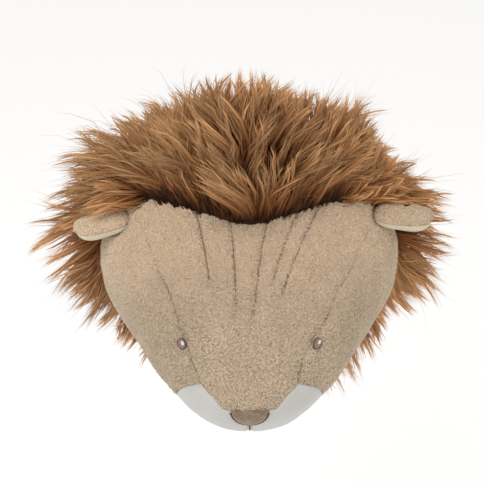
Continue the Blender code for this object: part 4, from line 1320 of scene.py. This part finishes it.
# %% Paths and tones of the locks
edge_share = np.append(row_share, np.zeros(LOCKS - LOCK_COUNT))
lock_path, lock_around, lock_combed = guide_paths(lock_theta, lock_place, lock_inward, pull)
# Painted light on the right side, away from the lamp, and on the lower mane, in the shadow of the overhang; painted
# shade on the inner locks by the hairline; then a random tone for each lock
lock_tone = 0.76 + 0.08 * np.cos(lock_theta) + 0.14 * smooth_step(0.5, 0.0, np.sin(lock_theta))
lock_tone[:LOCK_COUNT] -= 0.34 * lock_inward[:LOCK_COUNT]
lock_tone = np.clip(lock_tone + 0.25 * noise_at(lock_path[:, 0], 0.03, 8.0) + chance.normal(0, 0.12, LOCKS), 0.1, 0.95)
print("tones", lock_tone.min().round(2), "to", lock_tone.max().round(2))


# %% Keeping fur out of the ears and inside its reach
def over_ears(points, gap):
    """The same points, with those inside an ear moved out to its nearer face and gap beyond."""
    for matrix in ear_frames:
        local, share, away = in_ear(points, matrix)
        thick = EAR_THICK * np.clip(1 - share**3, 0, 1) ** (1 / EAR_FULLNESS) + gap
        inside = (share < 1) & (np.abs(away) < thick)
        local[..., 2] += np.where(inside, np.where(away > -0.5 * thick, thick, -thick) - away, 0.0)
        points = np.where(inside[..., None], local @ matrix[:3, :3].T + matrix[:3, 3], points)
    return points


def held_in(value, start, most):
    """Values that flatten out beyond start and never pass most."""
    room = most - start
    return np.where(value > start, most - room * np.exp(-np.maximum(value - start, 0) / room), value)


# %% Fur strands
STRANDS = 23400
# The core strand of each lock is painted darker, as shade inside the lock
STRAND_RADIUS, CORE_RADIUS, CORE_LENGTH, CORE_PAINTED_SHADE = 0.00033, 0.0018, 0.96, 0.15
STRAND_TAPER = np.array((0.9, 1.0, 0.85, 0.5))
LOCK_ROOT_RADIUS, TIP_JITTER = 0.0058, 0.0013
STRAY_SHARE, STRAY_WANDER, STRAY_LONGER, STRAY_THINNER = 0.05, 0.009, 1.12, 0.6
HEAD_CLEARANCE, EAR_CLEARANCE, WALL_CLEARANCE = 0.0008, 0.0006, 0.0016
# The fur's furthest reach to the side and up: where it starts to be held in, and where it ends
HELD_ACROSS, HELD_UP = (0.190, 0.2085), (0.152, 0.1745)
core = np.arange(STRANDS) < LOCKS
lock = np.where(core, np.arange(STRANDS), chance.integers(0, LOCKS, STRANDS))
around = chance.normal(0, 0.6, STRANDS)
across = chance.normal(0, 0.5, STRANDS)
near_hairline = smooth_step(0.85, 1.0, edge_share[lock])
across = across * (1 - near_hairline) + 0.3 * np.abs(across) * near_hairline
gather = np.where(core, 1.0, np.clip(chance.normal(0.78, 0.20, STRANDS), -0.3, 0.97))
path = lock_path[lock].copy()
rootward = lock_around[lock] * around[:, None] + lock_combed[lock] * across[:, None]
hold = 1 - gather[:, None] * GUIDE_STEPS[None, :] ** 0.8
path += LOCK_ROOT_RADIUS * rootward[:, None, :] * hold[..., None]
path += chance.normal(0, TIP_JITTER, (STRANDS, 1, 3)) * GUIDE_STEPS[None, :, None]
stray = ~core & (chance.random(STRANDS) < STRAY_SHARE)
longer = chance.uniform(0.72, 1.10, STRANDS) * np.where(stray, STRAY_LONGER, 1.0)
longer = np.where(core, CORE_LENGTH, longer)
path = path[:, :1] + (path - path[:, :1]) * longer[:, None, None]
wander = chance.normal(0, STRAY_WANDER, (STRANDS, 1, 3)) * GUIDE_STEPS[None, :, None] ** 1.5
path += np.where(stray[:, None, None], wander, 0.0)
path, _ = clear_of_head(path, HEAD_CLEARANCE)
path = over_ears(path, EAR_CLEARANCE)
path[..., 0] = np.sign(path[..., 0]) * held_in(np.abs(path[..., 0]), *HELD_ACROSS)
path[..., 1] = np.minimum(path[..., 1], -WALL_CLEARANCE)
path[..., 2] = held_in(path[..., 2], *HELD_UP)
# Core strands get painted shade
tone = np.clip(lock_tone[lock] + chance.normal(0, 0.13, STRANDS) - CORE_PAINTED_SHADE * core, 0, 1)
radius = STRAND_RADIUS * chance.uniform(0.7, 1.25, STRANDS) * np.where(stray, STRAY_THINNER, 1.0)
radius = np.where(core, CORE_RADIUS, radius)
print("strands", STRANDS, "reach", path.reshape(-1, 3).min(axis=0).round(4), path.reshape(-1, 3).max(axis=0).round(4))


# %% Strands as meshes
def strand_piece(name, path, radius, tone, finish):
    """Closed tapering tubes with three sides, one along each path."""
    count, rings = path.shape[0], path.shape[1] - 1
    heading = unit(np.gradient(path, axis=1))
    first = unit(np.cross(heading, np.array((0.31, 0.17, 0.93))))
    second = np.cross(heading, first)
    turn = 2 * math.pi * np.arange(3) / 3
    spoke = first[:, :-1, None] * np.cos(turn)[:, None] + second[:, :-1, None] * np.sin(turn)[:, None]
    tubes = path[:, :-1, None] + spoke * (radius[:, None] * STRAND_TAPER[None, :])[..., None, None]
    points = np.concatenate((tubes.reshape(count, -1, 3), path[:, -1:]), axis=1)
    each = 3 * rings + 1
    quads, tips = [], []
    for k in range(3):
        after = (k + 1) % 3
        tips.append((3 * rings - 3 + k, 3 * rings - 3 + after, 3 * rings))
        quads += [(3 * j + k, 3 * j + after, 3 * j + 3 + after, 3 * j + 3 + k) for j in range(rings - 1)]
    pattern = np.array([index for face in ((2, 1, 0), *quads, *tips) for index in face])
    counts = np.tile([3] + [4] * len(quads) + [3] * 3, count)
    corners = (pattern[None] + each * np.arange(count)[:, None]).ravel()
    reach = np.tile(np.append(np.repeat(GUIDE_STEPS[:-1], 3), 1.0), (count, 1)).ravel()
    unwrap = np.stack((np.repeat(tone, len(pattern)), reach[corners]), axis=1)
    return make_piece(name, points.reshape(-1, 3), corners, counts, unwrap, finish, reach, np.repeat(tone, each))


turn = lock_theta[lock]
quarter = np.searchsorted(np.quantile(turn, (0.25, 0.5, 0.75)), turn)
for number, word in enumerate(("a", "b", "c", "d")):
    own = quarter == number
    strand_piece(f"Mane_fur_{word}", path[own], radius[own], tone[own], fur)
print("fur in", number + 1, "pieces")

# %% [markdown]
# ## The back board
#
# The flat board behind is hidden in use. Its solid has the right shape, so it stays, and only gets a plain
# woven cloth.

# %% Board
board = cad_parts["back_board"]
board.data.materials.clear()
board.data.materials.append(board_cloth)
print("board", board.dimensions[:])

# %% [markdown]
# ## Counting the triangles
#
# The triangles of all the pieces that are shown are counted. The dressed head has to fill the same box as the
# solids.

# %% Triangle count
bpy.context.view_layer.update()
triangles = sum(len(polygon.vertices) - 2 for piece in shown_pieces() for polygon in piece.data.polygons)
print("triangles", triangles)
